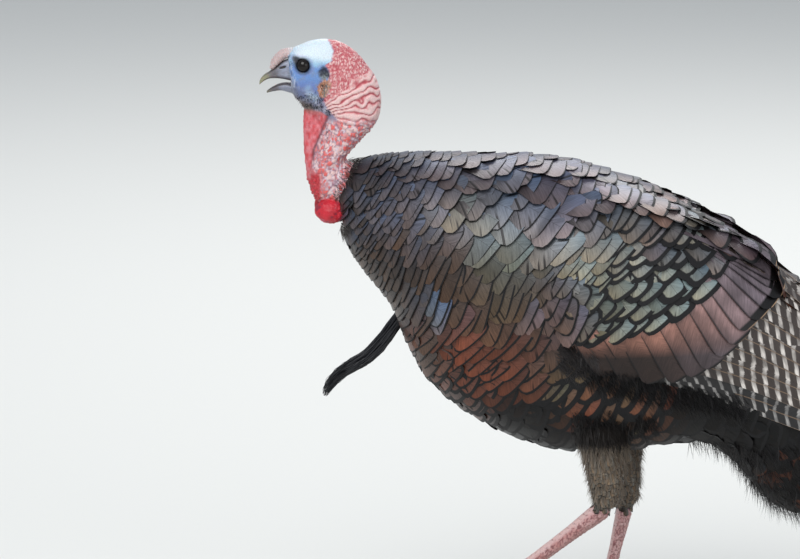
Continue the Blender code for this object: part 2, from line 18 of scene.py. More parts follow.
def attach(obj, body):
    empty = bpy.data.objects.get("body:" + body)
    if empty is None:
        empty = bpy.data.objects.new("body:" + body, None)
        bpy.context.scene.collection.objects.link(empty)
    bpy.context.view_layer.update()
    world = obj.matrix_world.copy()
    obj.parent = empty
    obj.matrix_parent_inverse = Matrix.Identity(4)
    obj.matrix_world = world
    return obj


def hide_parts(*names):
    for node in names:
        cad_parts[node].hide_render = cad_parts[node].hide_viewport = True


bl_info = {
    "name": "Wild turkey model",
    "version": (1, 0, 0),
    "blender": (4, 5, 0),
    "location": "3D View > Sidebar > Turkey",
    "description": "Models a wild turkey with its skin, bill, eyes, plumage, beard and feet",
    "category": "Mesh",
}

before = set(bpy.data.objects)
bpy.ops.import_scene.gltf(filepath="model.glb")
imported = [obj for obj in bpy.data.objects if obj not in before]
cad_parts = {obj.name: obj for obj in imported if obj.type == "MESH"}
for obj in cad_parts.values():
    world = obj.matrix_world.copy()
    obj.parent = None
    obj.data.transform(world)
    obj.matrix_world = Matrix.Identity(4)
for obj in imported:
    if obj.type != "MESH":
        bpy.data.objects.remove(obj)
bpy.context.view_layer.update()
bpy.ops.object.select_all(action="DESELECT")

MM = 0.001
SHIFT = np.array((-1.25, 0.0, 0.0))  # from the working millimetres to the frame
SIDES = {"left": -1, "right": 1}
PATCH = 0.003  # across each feather's patch of the baking map

# Sections of the head and neck: crown or nape x and z, chin or throat x and z, half width
NECK = (
    (-411, 725, -406, 676, 11),
    (-406, 729, -403, 671, 16.5),
    (-397, 733, -398, 666, 19),
    (-384, 738, -394, 660, 20.5),
    (-367, 740, -390, 655, 21.5),
    (-349, 736, -386, 651, 22),
    (-333, 726, -383, 648, 22),
    (-319, 710, -379, 645, 21.5),
    (-308, 691, -376, 640, 21.5),
    (-303, 669, -374, 632, 21.5),
    (-307, 645, -375, 621, 21.5),
    (-323, 624, -378, 610, 22),
    (-334, 612, -383, 599, 22.5),
    (-340, 605, -387, 587, 22.5),
    (-343.5, 601.5, -387, 576, 22.5),
    (-343, 597.5, -378, 550, 23),
    (-334, 592, -340, 532, 25),
    (-300, 585, -306, 505, 34),
)
EYE = (-392.5, 13.6, 710.5)
EYE_RADIUS = 8.6
BILL_UPPER = (
    (-403, 719, -398, 688, 9.2),
    (-418, 713.5, -416, 692.5, 8.4),
    (-430, 703.5, -429, 693.5, 6.3),
    (-438, 698.5, -437, 691.5, 4.6),
    (-443, 693, -442.5, 687.5, 2.7),
    (-444.5, 688.5, -444.5, 685.5, 1.1),
)
BILL_LOWER = (
    (-397, 684.5, -397, 672.5, 8.4),
    (-410, 688.5, -409, 676.5, 8.2),
    (-420, 687.5, -419, 679, 6.8),
    (-428, 684, -428, 678, 4.8),
    (-434, 680, -434, 676.5, 2.5),
    (-436, 678, -436, 676, 1.1),
)
# The snood: x and z of its path, half height, half width
SNOOD = (
    (-396, 724, 3, 4),
    (-402, 725, 4, 5),
    (-411, 724, 5.5, 6),
    (-419, 720, 6, 6.5),
    (-426, 712, 5.2, 5.5),
    (-430, 704, 2.6, 2.8),
)
# The dewlap: x and z of its middle, half length, half width
DEWLAP = (
    (-385, 664, 7, 4),
    (-381, 645, 12.5, 7),
    (-379, 626, 14, 8.5),
    (-381, 608, 11.5, 8.5),
    (-383, 591, 8, 7),
    (-385, 572, 4, 4),
)
BULB = (-361, 13.5, 537)
BULB_RADII = (18.5, 15, 15.5)
BEARD = (
    (-262, 437, 5),
    (-268, 428, 6),
    (-285, 402, 7),
    (-302, 378, 7.5),
    (-321, 359, 7),
    (-343, 347, 6.5),
    (-361, 331, 5.5),
    (-368, 317, 3),
)
HOCK = {"left": (-36, 50, 192), "right": (-11, 45, 172)}
KNUCKLE = {"left": (-170, 43, 86), "right": (-50, -2, 15)}


def linear(code):
    """The linear colour of an sRGB hex value."""
    parts = [int(code[start : start + 2], 16) / 255 for start in (0, 2, 4)]
    return tuple(p / 12.92 if p <= 0.04045 else ((p + 0.055) / 1.055) ** 2.4 for p in parts)


def rgba(code):
    """The linear colour of an sRGB hex value, opaque."""
    return (*linear(code), 1)


def colour(name, words, code):
    """A colour property with its default."""
    return FloatVectorProperty(
        name=name, description=words, subtype="COLOR", size=3, min=0, max=1, default=linear(code)
    )


def length(name, words, value):
    """A length property with its default in millimetres."""
    return FloatProperty(name=name, description=words, unit="LENGTH", default=value * MM)


class TurkeySizes(bpy.types.PropertyGroup):
    """The sizes a user would change."""

    coat_depth: length("Coat depth", "How far the skin lies below the feather tips", 8)
    vane_thickness: length("Vane thickness", "Thickness of a body feather's vane", 0.5)
    bare_grain: length("Bare skin grain", "Spacing of the bare skin's modelled points", 1.22)
    hull_grain: length("Body grain", "Spacing of the body's modelled points", 6.5)


class TurkeyColours(bpy.types.PropertyGroup):
    """The colours a user would change."""

    crown: colour("Crown", "Bare skin on top of the head", "D3E0E8")
    crown_edge: colour("Crown edge", "Where the crown turns to blue", "9FC8DC")
    face: colour("Face", "Bare blue skin round the eye", "6A90C8")
    cheek: colour("Cheek", "Violet blue skin below the eye", "6669A8")
    lore: colour("Lore", "Grey skin before the eye and round the nostril", "8F8C93")
    snood: colour("Snood", "The finger of skin over the bill", "C4A9A6")
    throat: colour("Throat", "Skin of the chin and jaw", "74665F")
    # on the nape the hollows' red is partly painted shade, and the palest pink along the folds is a
    # painted highlight
    valley: colour("Nape hollows", "Red between the folds of the nape", "B64C56")
    fold: colour("Nape folds", "Salmon pink of the folds", "D08386")
    ridge: colour("Nape ridges", "Palest pink along the folds", "E6C3C0")
    dewlap: colour("Dewlap", "Smooth skin down the throat", "C9484F")
    wattle: colour("Great caruncle", "The big beads at the neck's base", "CB2233")
    lavender: colour("Neck side", "Lavender grey skin of the neck", "BBA6C4")
    ochre: colour("Below the ear", "Ochre patch below the ear", "BC7A42")
    slate: colour("Slate", "Feathers of the neck and shoulder", "5A5B68")
    soot: colour("Soot", "Feathers of the belly and under the tail", "090808")
    charcoal: colour("Charcoal", "Feathers of the neck's base and belly", "3A3635")
    bronze: colour("Bronze", "Feathers of the breast and its sides", "4E4038")
    mauve: colour("Mauve", "Feathers of the back", "6B606C")
    pink: colour("Pink copper", "Feathers of the lower back", "7A5652")
    copper: colour("Copper", "Feathers of the lower breast", "5E3629")
    rust: colour("Rust", "Bright feathers of the flank", "7C4635")
    olive: colour("Olive", "Feathers round the wing's bend", "575443")
    teal: colour("Teal", "Green-blue feathers of the mantle", "4E6A70")
    steel: colour("Steel", "Blue-grey glint of the breast's side", "5A6A80")
    silver: colour("Silver", "Pale feathers over the wing", "898E86")
    tibia: colour("Drumstick", "Feathers of the drumsticks", "4A4037")
    tibia_pale: colour("Drumstick pale", "Paler feathers of the drumsticks", "786C5E")
    chestnut: colour("Chestnut", "Tips of the tail and its coverts", "7A3B22")


class Hull:
    """A smooth surface that feathers are laid on, in working millimetres."""

    def __init__(self, obj):
        mesh = obj.data
        self.points, self.normals = surface(mesh)
        mesh.calc_loop_triangles()
        self.faces = read(mesh.loop_triangles, "vertices", 3, np.int32)
        self.tree = BVHTree.FromPolygons(self.points.tolist(), self.faces.tolist())

    def triangles(self):
        """The corners, middles and crossed edges of all the faces."""
        corners = self.points[self.faces]
        edges = corners[:, 1] - corners[:, 0], corners[:, 2] - corners[:, 0]
        return corners, corners.mean(1), np.cross(*edges)

    def smooth_normals(self, spots, faces):
        """Normals blended from the corners of the faces that the spots lie on."""
        corners = self.faces[faces]
        near = 1 / (np.linalg.norm(self.points[corners] - spots[:, None], axis=2) + 0.5)
        return unit((self.normals[corners] * near[:, :, None]).sum(1))

    def nearest(self, spots):
        """The surface's closest points to some spots, with their normals."""
        found = [self.tree.find_nearest(Vector(spot)) for spot in spots]
        places = np.array([hit[0] for hit in found])
        return places, self.smooth_normals(places, np.array([hit[2] for hit in found]))


def read(things, field, width=3, kind=float):
    """An attribute of all of a mesh's points, edges or corners as one array."""
    values = np.empty(len(things) * width, kind)
    things.foreach_get(field, values)
    return values if width == 1 else values.reshape(-1, width)


def surface(mesh):
    """A mesh's points, in working millimetres, and its normals."""
    return read(mesh.vertices, "co") / MM - SHIFT, read(mesh.vertex_normals, "vector")


def reshape(mesh, points):
    """Moves a mesh's points to places in working millimetres."""
    mesh.vertices.foreach_set("co", ((points + SHIFT) * MM).ravel())
    mesh.update()


def unit(vectors):
    """Vectors scaled to length 1."""
    return vectors / np.maximum(np.linalg.norm(vectors, axis=-1, keepdims=True), 1e-9)


def step(low, high, values):
    """A soft step from 0 at low to 1 at high."""
    part = np.clip((values - low) / (high - low), 0, 1)
    return part * part * (3 - 2 * part)


def hump(values, middle, width):
    """A bell of height 1 round a middle value."""
    return np.exp(-(((values - middle) / width) ** 2))


def mix(first, second, share):
    """Colours or points blended by a share for each."""
    share = np.asarray(share)[..., None]
    return np.asarray(first) * (1 - share) + np.asarray(second) * share


def hashed(cells, seed):
    """A steady random number between 0 and 1 for each lattice cell."""
    key = cells[..., 0] * 73856093 ^ cells[..., 1] * 19349663 ^ cells[..., 2] * 83492791
    key = (key ^ (seed * 2654435761)) & 0xFFFFFFFF
    key = ((key ^ (key >> 15)) * 2246822519) & 0xFFFFFFFF
    key = ((key ^ (key >> 13)) * 3266489917) & 0xFFFFFFFF
    return (key ^ (key >> 16)) / 0xFFFFFFFF


def cloud(points, size, seed=0):
    """Soft noise between -1 and 1 with lumps of about the given size."""
    spots = points / size
    base = np.floor(spots).astype(np.int64)
    part = spots - base
    ease = part * part * (3 - 2 * part)
    total = np.zeros(len(points))
    for corner in product((0, 1), repeat=3):
        share = np.where(np.array(corner), ease, 1 - ease).prod(1)
        total += share * hashed(base + np.array(corner), seed)
    return total * 2 - 1


def beads(points, size, seed=0, spread=0.8):
    """Distances to the nearest and second centres of scattered beads, in beads, and its number."""
    spots = points / size
    base = np.floor(spots).astype(np.int64)
    first = np.full(len(points), 9.0)
    second = np.full(len(points), 9.0)
    number = np.zeros(len(points))
    for corner in product((-1, 0, 1), repeat=3):
        cell = base + np.array(corner)
        nudge = np.stack([hashed(cell, seed + axis) for axis in (1, 2, 3)], 1) - 0.5
        gap = np.linalg.norm(cell + 0.5 + nudge * spread - spots, axis=1)
        closer = gap < first
        second = np.where(closer, first, np.minimum(second, gap))
        number = np.where(closer, hashed(cell, seed + 4), number)
        first = np.where(closer, gap, first)
    return first, second, number


def curve(before, here, after, beyond, part):
    """A smooth curve through four neighbours, part of the way from the second to the third."""
    straight = after - before
    square = 2 * before - 5 * here + 4 * after - beyond
    cube = 3 * here - before - 3 * after + beyond
    return (2 * here + straight * part + square * part**2 + cube * part**3) / 2


def stations(table, place):
    """The row of a table at any place along it, on a smooth curve through its rows."""
    rows = np.array(table, float)
    last = len(rows) - 1
    base = min(max(int(place), 0), last - 1)
    return curve(*(rows[min(max(base + k, 0), last)] for k in (-1, 0, 1, 2)), place - base)


def section_ring(table, place, sides, square):
    """One section of a table of sections as a ring of points."""
    top_x, top_z, low_x, low_z, half = stations(table, place)
    turn = np.arange(sides) * math.tau / sides
    across = np.sign(np.sin(turn)) * np.abs(np.sin(turn)) ** square
    along = np.sign(np.cos(turn)) * np.abs(np.cos(turn)) ** square
    x = (top_x + low_x) / 2 + (top_x - low_x) / 2 * along
    z = (top_z + low_z) / 2 + (top_z - low_z) / 2 * along
    return np.stack([x, -half * across, z], 1)


def tube_rings(path, sizes, sides):
    """Rings round a path: sizes are the half height and half width at each point."""
    spots = np.array(path, float)
    ahead = unit(np.gradient(spots, axis=0))
    across = unit(np.cross(ahead[0], (0, 0, 1)))
    turn = np.arange(sides) * math.tau / sides
    rings = []
    for spot, way, (high, wide) in zip(spots, ahead, sizes):
        across = unit(across - way * across.dot(way))
        rise = np.cross(across, way)
        ring = spot + np.outer(np.cos(turn) * high, rise) + np.outer(np.sin(turn) * wide, across)
        rings.append(ring)
    return rings


def finer(path, count):
    """A path resampled on a smooth curve through its points."""
    return np.array([stations(path, at) for at in np.linspace(0, len(path) - 1, count)])


def new_mesh(name, points, faces):
    """A mesh object from working millimetres."""
    mesh = bpy.data.meshes.new(name)
    placed = (np.asarray(points) + SHIFT) * MM
    mesh.from_pydata(placed.tolist(), [], [tuple(int(i) for i in face) for face in faces])
    obj = bpy.data.objects.new(name, mesh)
    bpy.context.scene.collection.objects.link(obj)
    return obj


def loft(name, rings):
    """A closed solid through rings of equal count."""
    count = len(rings[0])
    points = np.concatenate([*rings, [rings[0].mean(0), rings[-1].mean(0)]])
    faces = []
    for row, col in product(range(len(rings) - 1), range(count)):
        here, onward = row * count + col, row * count + (col + 1) % count
        faces.append((here, onward, onward + count, here + count))
    last = (len(rings) - 1) * count
    faces += [((col + 1) % count, col, len(points) - 2) for col in range(count)]
    faces += [(last + col, last + (col + 1) % count, len(points) - 1) for col in range(count)]
    obj = new_mesh(name, points, faces)
    outward(obj)
    return obj


def ball(name, centre, radii, segments, rings):
    """A ball or egg round a centre."""
    bpy.ops.mesh.primitive_uv_sphere_add(segments=segments, ring_count=rings)
    made = bpy.context.active_object
    made.name = name
    for vertex in made.data.vertices:
        place = [centre[k] + SHIFT[k] + vertex.co[k] * radii[k] for k in range(3)]
        vertex.co = Vector(place) * MM
    return made


def outward(obj):
    """Turns a closed mesh's faces outwards."""
    activate(obj)
    bpy.ops.object.mode_set(mode="EDIT")
    bpy.ops.mesh.select_all(action="SELECT")
    bpy.ops.mesh.normals_make_consistent(inside=False)
    bpy.ops.object.mode_set(mode="OBJECT")


def activate(obj):
    """Makes one object the only selected and the active one."""
    bpy.ops.object.select_all(action="DESELECT")
    obj.select_set(True)
    bpy.context.view_layer.objects.active = obj


def shade_smooth(obj):
    """Shades an object smoothly."""
    activate(obj)
    bpy.ops.object.shade_smooth()


def apply_modifier(obj, kind, **settings):
    """Adds a modifier with its settings and applies it."""
    made = obj.modifiers.new(kind.title(), kind)
    for key, value in settings.items():
        setattr(made, key, value)
    activate(obj)
    bpy.ops.object.modifier_apply(modifier=made.name)


def remesh(obj, grain, rounds):
    """Makes an object one even, smooth, closed form with points about a grain apart."""
    apply_modifier(obj, "REMESH", mode="VOXEL", voxel_size=grain)
    apply_modifier(obj, "SMOOTH", factor=0.5, iterations=rounds)
    return obj


def join(name, objs):
    """Joins objects into one."""
    activate(objs[0])
    for obj in objs:
        obj.select_set(True)
    bpy.ops.object.join()
    objs[0].name = name
    objs[0].data.name = name
    return objs[0]


def copy_nodes(name, nodes):
    """One merged copy of some CAD nodes."""
    copies = []
    for node in nodes:
        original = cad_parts[node]
        copy = original.copy()
        copy.data = original.data.copy()
        copy.parent = None
        for key in list(copy.keys()):
            del copy[key]
        bpy.context.scene.collection.objects.link(copy)
        copy.hide_viewport = False
        copy.hide_render = False
        copy.hide_set(False)
        copies.append(copy)
    obj = join(name, copies)
    obj.data.materials.clear()
    return obj


def both(*parts):
    """The names of the left and right nodes of some parts."""
    return [f"{part}_{side}" for part, side in product(parts, SIDES)]


def paint(obj, name, colours):
    """Stores a colour for each point of a mesh."""
    data = obj.data.attributes.new(name, "FLOAT_COLOR", "POINT")
    full = np.ones((len(colours), 4), np.float32)
    full[:, : colours.shape[1]] = colours
    data.data.foreach_set("color", full.ravel())


def add_map(obj, name, places):
    """Stores a place on a flat map for each face corner of a mesh."""
    layer = obj.data.uv_layers.new(name=name)
    layer.data.foreach_set("uv", places.astype(np.float32).ravel())


def node_material(name):
    """A new material with its tree and its surface shader."""
    made = bpy.data.materials.new(name)
    made.use_nodes = True
    return made, made.node_tree, made.node_tree.nodes["Principled BSDF"]


def plug(tree, socket, value):
    """Joins a node's first output, or an output, to a socket, or sets the socket's value."""
    if isinstance(value, bpy.types.Node):
        value = value.outputs[0]
    if isinstance(value, bpy.types.NodeSocket):
        tree.links.new(value, socket)
    else:
        socket.default_value = value


def add(tree, kind, *inputs, **settings):
    """Adds a shader node. Inputs are values, nodes or outputs, by place or as (socket, value)."""
    made = tree.nodes.new("ShaderNode" + kind)
    for key, value in settings.items():
        setattr(made, key, value)
    for index, value in enumerate(inputs):
        key = index
        if isinstance(value, tuple) and isinstance(value[0], str):
            key, value = value
        plug(tree, made.inputs[key], value)
    return made


def dress(tree, shader, sockets):
    """Sets the named sockets of a surface shader to values, nodes or outputs."""
    for name, value in sockets.items():
        plug(tree, shader.inputs[name], value)


def props():
    """The sizes and colours that the user may have changed."""
    scene = bpy.context.scene
    return scene.turkey_sizes, scene.turkey_colours


def hue(name):
    """One of the colours that the user may have changed."""
    return np.array(getattr(props()[1], name))


# ---------------------------------------------------------------------------------------------
# Bare skin
# ---------------------------------------------------------------------------------------------

# Edges of the bare skin's regions: x and z from top to bottom
NAPE_EDGE = (
    (-365, 742), (-359, 728), (-359, 716), (-368, 712), (-363, 706), (-363, 680), (-370, 672),
    (-366, 664), (-360, 655), (-352, 646), (-345, 636), (-352, 622), (-372, 600),
)
DEWLAP_EDGE = ((-374, 658), (-364, 651), (-372, 631), (-381, 610), (-383, 594), (-386, 570))
FOLD_HUB = (-388, 653)  # x and z of where the nape's long folds spread from
# How finely the parts are built: rings along them and points round each ring
NECK_RINGS, NECK_SIDES = 110, 72
DEWLAP_RINGS, DEWLAP_SIDES = 40, 32
SNOOD_STEPS = 24
BILL_STEPS = 40
LEG_GRAIN = 1.35 * MM  # spacing of the modelled points of legs, claws and bill
CLAW_GRAIN = 0.45 * MM
BILL_GRAIN = 0.5 * MM
TOE_PLATE = 4.6  # length of the broad scales of the toes, and of the shanks
SHANK_PLATE = 7.5


def head_form():
    """The head, neck, snood, dewlap and great caruncles as one fine closed skin."""
    sizes, _colours = props()
    places = np.linspace(0, len(NECK) - 1, NECK_RINGS)
    snood = finer(SNOOD, SNOOD_STEPS)
    path = [(x, 0, z) for x, z, _high, _wide in snood]
    turn = np.arange(DEWLAP_SIDES) * math.tau / DEWLAP_SIDES
    rings = []
    for x, z, long, wide in finer(DEWLAP, DEWLAP_RINGS):
        ring = [x + long * np.cos(turn), wide * np.sin(turn), np.full(DEWLAP_SIDES, z)]
        rings.append(np.stack(ring, 1))
    parts = [
        loft("head_form", [section_ring(NECK, place, NECK_SIDES, 1.0) for place in places]),
        loft("snood_form", tube_rings(path, snood[:, 2:], SNOOD_STEPS)),
        loft("dewlap_form", rings),
    ]
    for way in SIDES.values():
        parts.append(ball("bulb_form", (BULB[0], BULB[1] * way, BULB[2]), BULB_RADII, 32, 20))
    return remesh(join("head_form", parts), sizes.bare_grain, 3)


def snood_distance(points):
    """How far points lie from the snood's middle line, in its own half sizes."""
    x, y, z = points.T
    nearest = np.full(len(points), 99.0)
    for middle_x, middle_z, high, wide in finer(SNOOD, SNOOD_STEPS):
        square = ((x - middle_x) ** 2 + (z - middle_z) ** 2) / high**2 + (y / wide) ** 2
        nearest = np.minimum(nearest, np.sqrt(square))
    return nearest


def side_edge(z, *pairs):
    """The x of a boundary at each height, through pairs of x and z from top to bottom."""
    table = np.array(pairs[::-1])
    return np.interp(z, table[:, 1], table[:, 0])


def head_regions(points):
    """Soft masks of the parts of the bare skin, and the noise that breaks up their edges."""
    x, y, z = points.T
    grain, fine = cloud(points, 9, 1), cloud(points, 2.2, 2)
    at = SimpleNamespace(x=x, y=y, z=z, grain=grain, fine=fine, lift=np.zeros(len(points)))
    at.side = step(4, 12, np.abs(y))
    nape_edge = side_edge(z, *NAPE_EDGE)
    at.nape = step(-1.5, 1.5, x - nape_edge + 2 * grain + 1.2 * fine)
    at.crown = step(707, 719, z + 3 * grain) * (1 - at.nape) * step(-414, -398, x)
    at.blue = (1 - at.nape) * (1 - at.crown) * step(664, 674, z + 3 * grain)
    at.lore = at.blue * step(-404, -413, x + 0.35 * (z - 700))
    at.throat = step(674, 662, z + (x + 390) * 0.25) * (1 - at.nape) * step(-375, -385, x)
    at.dewlap_edge = side_edge(z, *DEWLAP_EDGE)
    at.dewlap = step(1.5, -1.5, x - at.dewlap_edge + grain) * step(660, 654, z) * step(572, 580, z)
    centres = np.stack([x * 0 + BULB[0], np.sign(y) * BULB[1], x * 0 + BULB[2]], 1)
    at.bulb = step(1.22, 1.02, np.linalg.norm((points - centres) / BULB_RADII, axis=1))
    at.neck = step(652, 640, z) * (1 - at.dewlap) * (1 - at.bulb)
    return at


def fold_nape(points, at):
    """Worm-like folds over the nape, which turn into long ones that spread over its lower half."""
    hub_x, hub_z = FOLD_HUB
    swing = np.arctan2(at.z - hub_z, at.x - hub_x) + 0.05 * at.grain
    phase = 25 * swing + 0.7 * at.grain + 0.35 * cloud(points, 5, 6) + 0.6 * np.sign(at.y)
    fan = 1.9 * (1 - hump(np.sin(phase), 0, 0.42)) - 0.9 + 0.25 * cloud(points, 3, 5)
    bent = points + np.stack([at.grain, at.grain * 0, -at.grain], 1) * 1.6
    first, second, at.shade = beads(bent * (1.25, 1, 0.62), 2.9, 7)
    worm = 2.4 * np.clip((second - first) * 1.6, 0, 0.8) - 0.9 + 0.3 * cloud(points, 2.4, 8)
    low = step(0.72, 0.5, swing + 0.05 * at.fine) * step(-0.5, -0.3, swing)
    at.folds = np.clip(worm * (1 - low) + fan * low, -0.9, 1)
    at.lift += at.nape * at.folds * (0.5 + 0.75 * low)


def bead_neck(points, at):
    """Strung beads down the side of the neck, and a cord of higher ones below the dewlap."""
    shake = np.stack([cloud(points, 5, 14), at.grain * 0, cloud(points, 5, 15)], 1) * 2.2
    first, second, at.number = beads((points + shake) * (1.05, 1, 0.74), 4.6, 11)
    at.bead = np.clip((second - first) * 1.7, 0, 1)
    at.lift += at.neck * step(648, 630, at.z) * (1.5 * at.bead - 0.6)
    first, second, _number = beads(points, 4.2, 21)
    at.cord = at.neck * step(-369, -376, at.x) * step(590, 580, at.z)
    at.lift += at.cord * (2.2 * np.clip((second - first) * 1.5, 0, 1) - 0.4)


def swell_wattles(points, at):
    """Lumps and creases of the great caruncles and dewlap, and wrinkles of snood and throat."""
    at.lift += at.bulb * (3.2 * cloud(points, 17, 30) + 1.3 * cloud(points, 8, 31) + 0.3 * at.fine)
    at.crease = cloud(points * (1, 1, 1.5), 5, 32)
    at.lift -= 0.6 * at.bulb * step(-0.3, -0.55, at.crease)
    at.lift += at.dewlap * (0.5 * cloud(points * (1.6, 1, 0.7), 4, 35) + 0.3 * at.fine)
    at.snood_gap = snood_distance(points)
    at.on_snood = step(1.3, 1.12, at.snood_gap) * step(-399, -403, at.x)
    bridge = np.maximum(at.on_snood, step(-394, -400, at.x) * step(718, 722, at.z))
    at.wrinkle = np.sin((at.x * 0.85 + at.z * 0.35) * 2.4 + 2 * at.grain)
    at.lift += bridge * 0.45 * at.wrinkle
    at.lift += at.throat * 0.35 * cloud(points, 3, 41) + at.blue * 0.15 * at.fine


def shape_face(points, at):
    """Wrinkles between the eye and the bill, and the ear: a shallow hole with a raised rim."""
    at.crinkle = cloud(points * (1.5, 1, 0.8), 2.8, 71)
    at.front = step(-401, -408, at.x + 0.3 * (at.z - 705)) * step(676, 686, at.z)
    at.front = at.front * step(724, 716, at.z) * (1 - at.nape)
    at.lift += 0.4 * at.front * at.crinkle
    ear_gap = np.hypot((at.x + 368.5) / 6.2, (at.z - 702) / 7.2) + 0.22 * at.fine + 0.15 * at.grain
    at.ear = step(1.15, 0.75, ear_gap) * at.side
    at.lift -= 2.0 * at.ear
    at.lift += 0.8 * step(0.35, 0.0, np.abs(ear_gap - 1.25)) * at.side


def open_eye(points, normals, at):
    """Moves the skin. It falls away inside the lids, which stand up as a thin rim."""
    eye_x, eye_y, eye_z = EYE
    at.ahead, at.over = at.x - eye_x, at.z - eye_z
    turn = np.arctan2(at.over, at.ahead)
    corner = np.exp(-(((turn - 2.45 + math.tau * (turn < -2)) / 0.34) ** 2))
    gap = np.hypot(at.ahead, at.over)
    at.lid = gap - (7.8 + 6.0 * corner - 0.5 * np.cos(turn))
    at.inside = step(0.7, -0.9, at.lid) * at.side
    at.lift += 0.75 * hump(at.lid, 1.3, 1.0) * at.side
    at.furrow = hump(at.lid, 3.4, 0.9) * at.side
    at.lift -= 0.5 * at.furrow
    moved = points + normals * at.lift[:, None]
    depth = eye_y + np.sqrt(np.maximum(EYE_RADIUS**2 - np.minimum(gap, EYE_RADIUS) ** 2, 0)) - 2.5
    off = np.abs(moved[:, 1])
    sunk = np.minimum(off, np.where(gap < EYE_RADIUS, depth, eye_y + 2.2))
    drawn = np.sign(at.y) * (sunk * at.inside + off * (1 - at.inside))
    moved[:, 1] = np.where(at.inside > 0.02, drawn, moved[:, 1])
    return moved


def colour_face(points, at):
    """Blue face, pale crown and brown throat."""
    x, z, grain, fine = at.x, at.z, at.grain, at.fine
    skin = mix(hue("face"), hue("cheek"), step(700, 684, z) * (0.5 + 0.5 * grain))
    skin = mix(skin, hue("crown_edge"), 0.5 * step(0.1, 0.9, grain + step(706, 716, z)))
    skin = mix(skin, hue("lore"), np.clip(at.lore + 0.25 * fine * at.lore, 0, 1))
    top = mix(hue("crown_edge"), hue("crown"), step(711, 722, z + 2 * grain))
    skin = mix(skin, top, at.crown)
    dull = cloud(points * (1, 1, 1.3), 4.5, 72) + 0.5 * cloud(points, 1.8, 73)
    skin = mix(skin, linear("8089A3"), 0.55 * at.blue * step(-0.1, 0.6, dull))
    # painted highlight on the raised wrinkles before the eye, and painted shade in the furrows
    # between them
    skin = mix(skin, linear("C3CAD8"), 0.75 * at.front * step(0.0, 0.5, at.crinkle))
    skin = mix(skin, linear("3A4160"), 0.7 * at.front * step(-0.25, -0.6, at.crinkle))
    behind = step(674, 662, z) * step(-382, -374, x) * (1 - at.nape)
    skin = mix(skin, hue("lavender") * 0.85, behind)
    jaw = step(687, 676, z + 0.25 * (x + 385) + 4 * grain) * (1 - at.nape) * step(-412, -402, x)
    jaw_tone = mix(linear("69708A"), linear("B4BAC6"), step(0.2, 0.8, grain + 0.4 * fine))
    skin = mix(skin, jaw_tone, 0.7 * jaw)
    return mix(skin, hue("throat") * (1 + 0.3 * fine[:, None]), at.throat)


def colour_neck(skin, points, at):
    """Red and salmon folds of the nape, palest along their tops as a painted highlight and partly
    in painted shade in their hollows, and lavender, pink and red beads of the neck.
    """
    x, z, grain = at.x, at.z, at.grain
    # the deeper red in the hollows between folds is partly painted shade, and the palest pink along
    # their tops is a painted highlight
    red = mix(hue("valley"), hue("fold"), step(-0.75, -0.1, at.folds))
    pale = step(-0.1, 0.95, at.folds + 0.35 * grain + 0.5 * (at.shade - 0.5))
    skin = mix(skin, mix(red, hue("ridge"), pale), at.nape)
    bead_tone = mix(hue("ridge"), hue("fold"), step(0.25, 0.55, at.number))
    reddish = step(0.5, 0.62, at.number + 0.35 * cloud(points, 16, 13)) * step(0.15, 0.5, at.bead)
    bead_tone = mix(bead_tone, linear("DC6560"), reddish * step(-384, -370, x))
    front_tone = mix(hue("lavender"), hue("ridge"), 0.4 * step(0.4, 0.8, at.number))
    behind = step(-390, -366, x + 10 * grain + 0.25 * (640 - z))
    bead_tone = mix(front_tone, bead_tone, behind)
    crease = mix(linear("96707F"), linear("D9CCD6"), step(-0.3, 0.5, at.fine))
    bead_tone = mix(crease, bead_tone, step(0.05, 0.35, at.bead))
    skin = mix(skin, bead_tone, at.neck * step(660, 645, z))
    return mix(skin, mix(hue("wattle") * 0.8, hue("dewlap"), 0.5 + 0.5 * at.fine), at.cord)


def colour_wattles(skin, points, at):
    """The red dewlap and great caruncles, and the pale snood."""
    x, z = at.x, at.z
    mottle = cloud(points * (1.4, 1, 0.8), 3.4, 36)
    flush = mix(hue("dewlap"), linear("DC8A92"), np.clip(0.35 + 0.6 * mottle, 0, 1))
    flush = mix(flush, linear("A85848"), step(648, 660, z) * 0.6)
    skin = mix(skin, flush * (1 + 0.14 * at.fine[:, None]), at.dewlap)
    # painted shade in the fold where the dewlap hangs from the neck
    line = hump(x, at.dewlap_edge, 1.6) * step(656, 648, z) * step(590, 606, z)
    skin = mix(skin, linear("4A2630"), 0.7 * line)
    shine = hue("wattle") * (0.84 + 0.26 * at.grain[:, None])
    # painted highlight: paler pink patches over the caruncles' red
    shine = mix(shine, linear("BC4C62"), 0.7 * step(0.1, 0.6, cloud(points, 7, 31)))
    # painted shade in the caruncles' sunken creases
    shine = mix(linear("8E2238"), shine, step(-0.55, -0.3, at.crease))
    skin = mix(skin, shine, at.bulb)
    paler = np.clip(step(-414, -404, x) * 0.7 + 0.25 * at.wrinkle, 0, 1)
    # painted shade in the crease round the snood's base
    groove = hump(at.snood_gap, 1.45, 0.26) * step(-398, -404, x) * step(724, 719, z)
    skin = mix(skin, linear("241816"), 0.9 * groove * (1 - at.on_snood))
    return mix(skin, mix(hue("snood"), hue("crown") * 0.9, paler), at.on_snood)


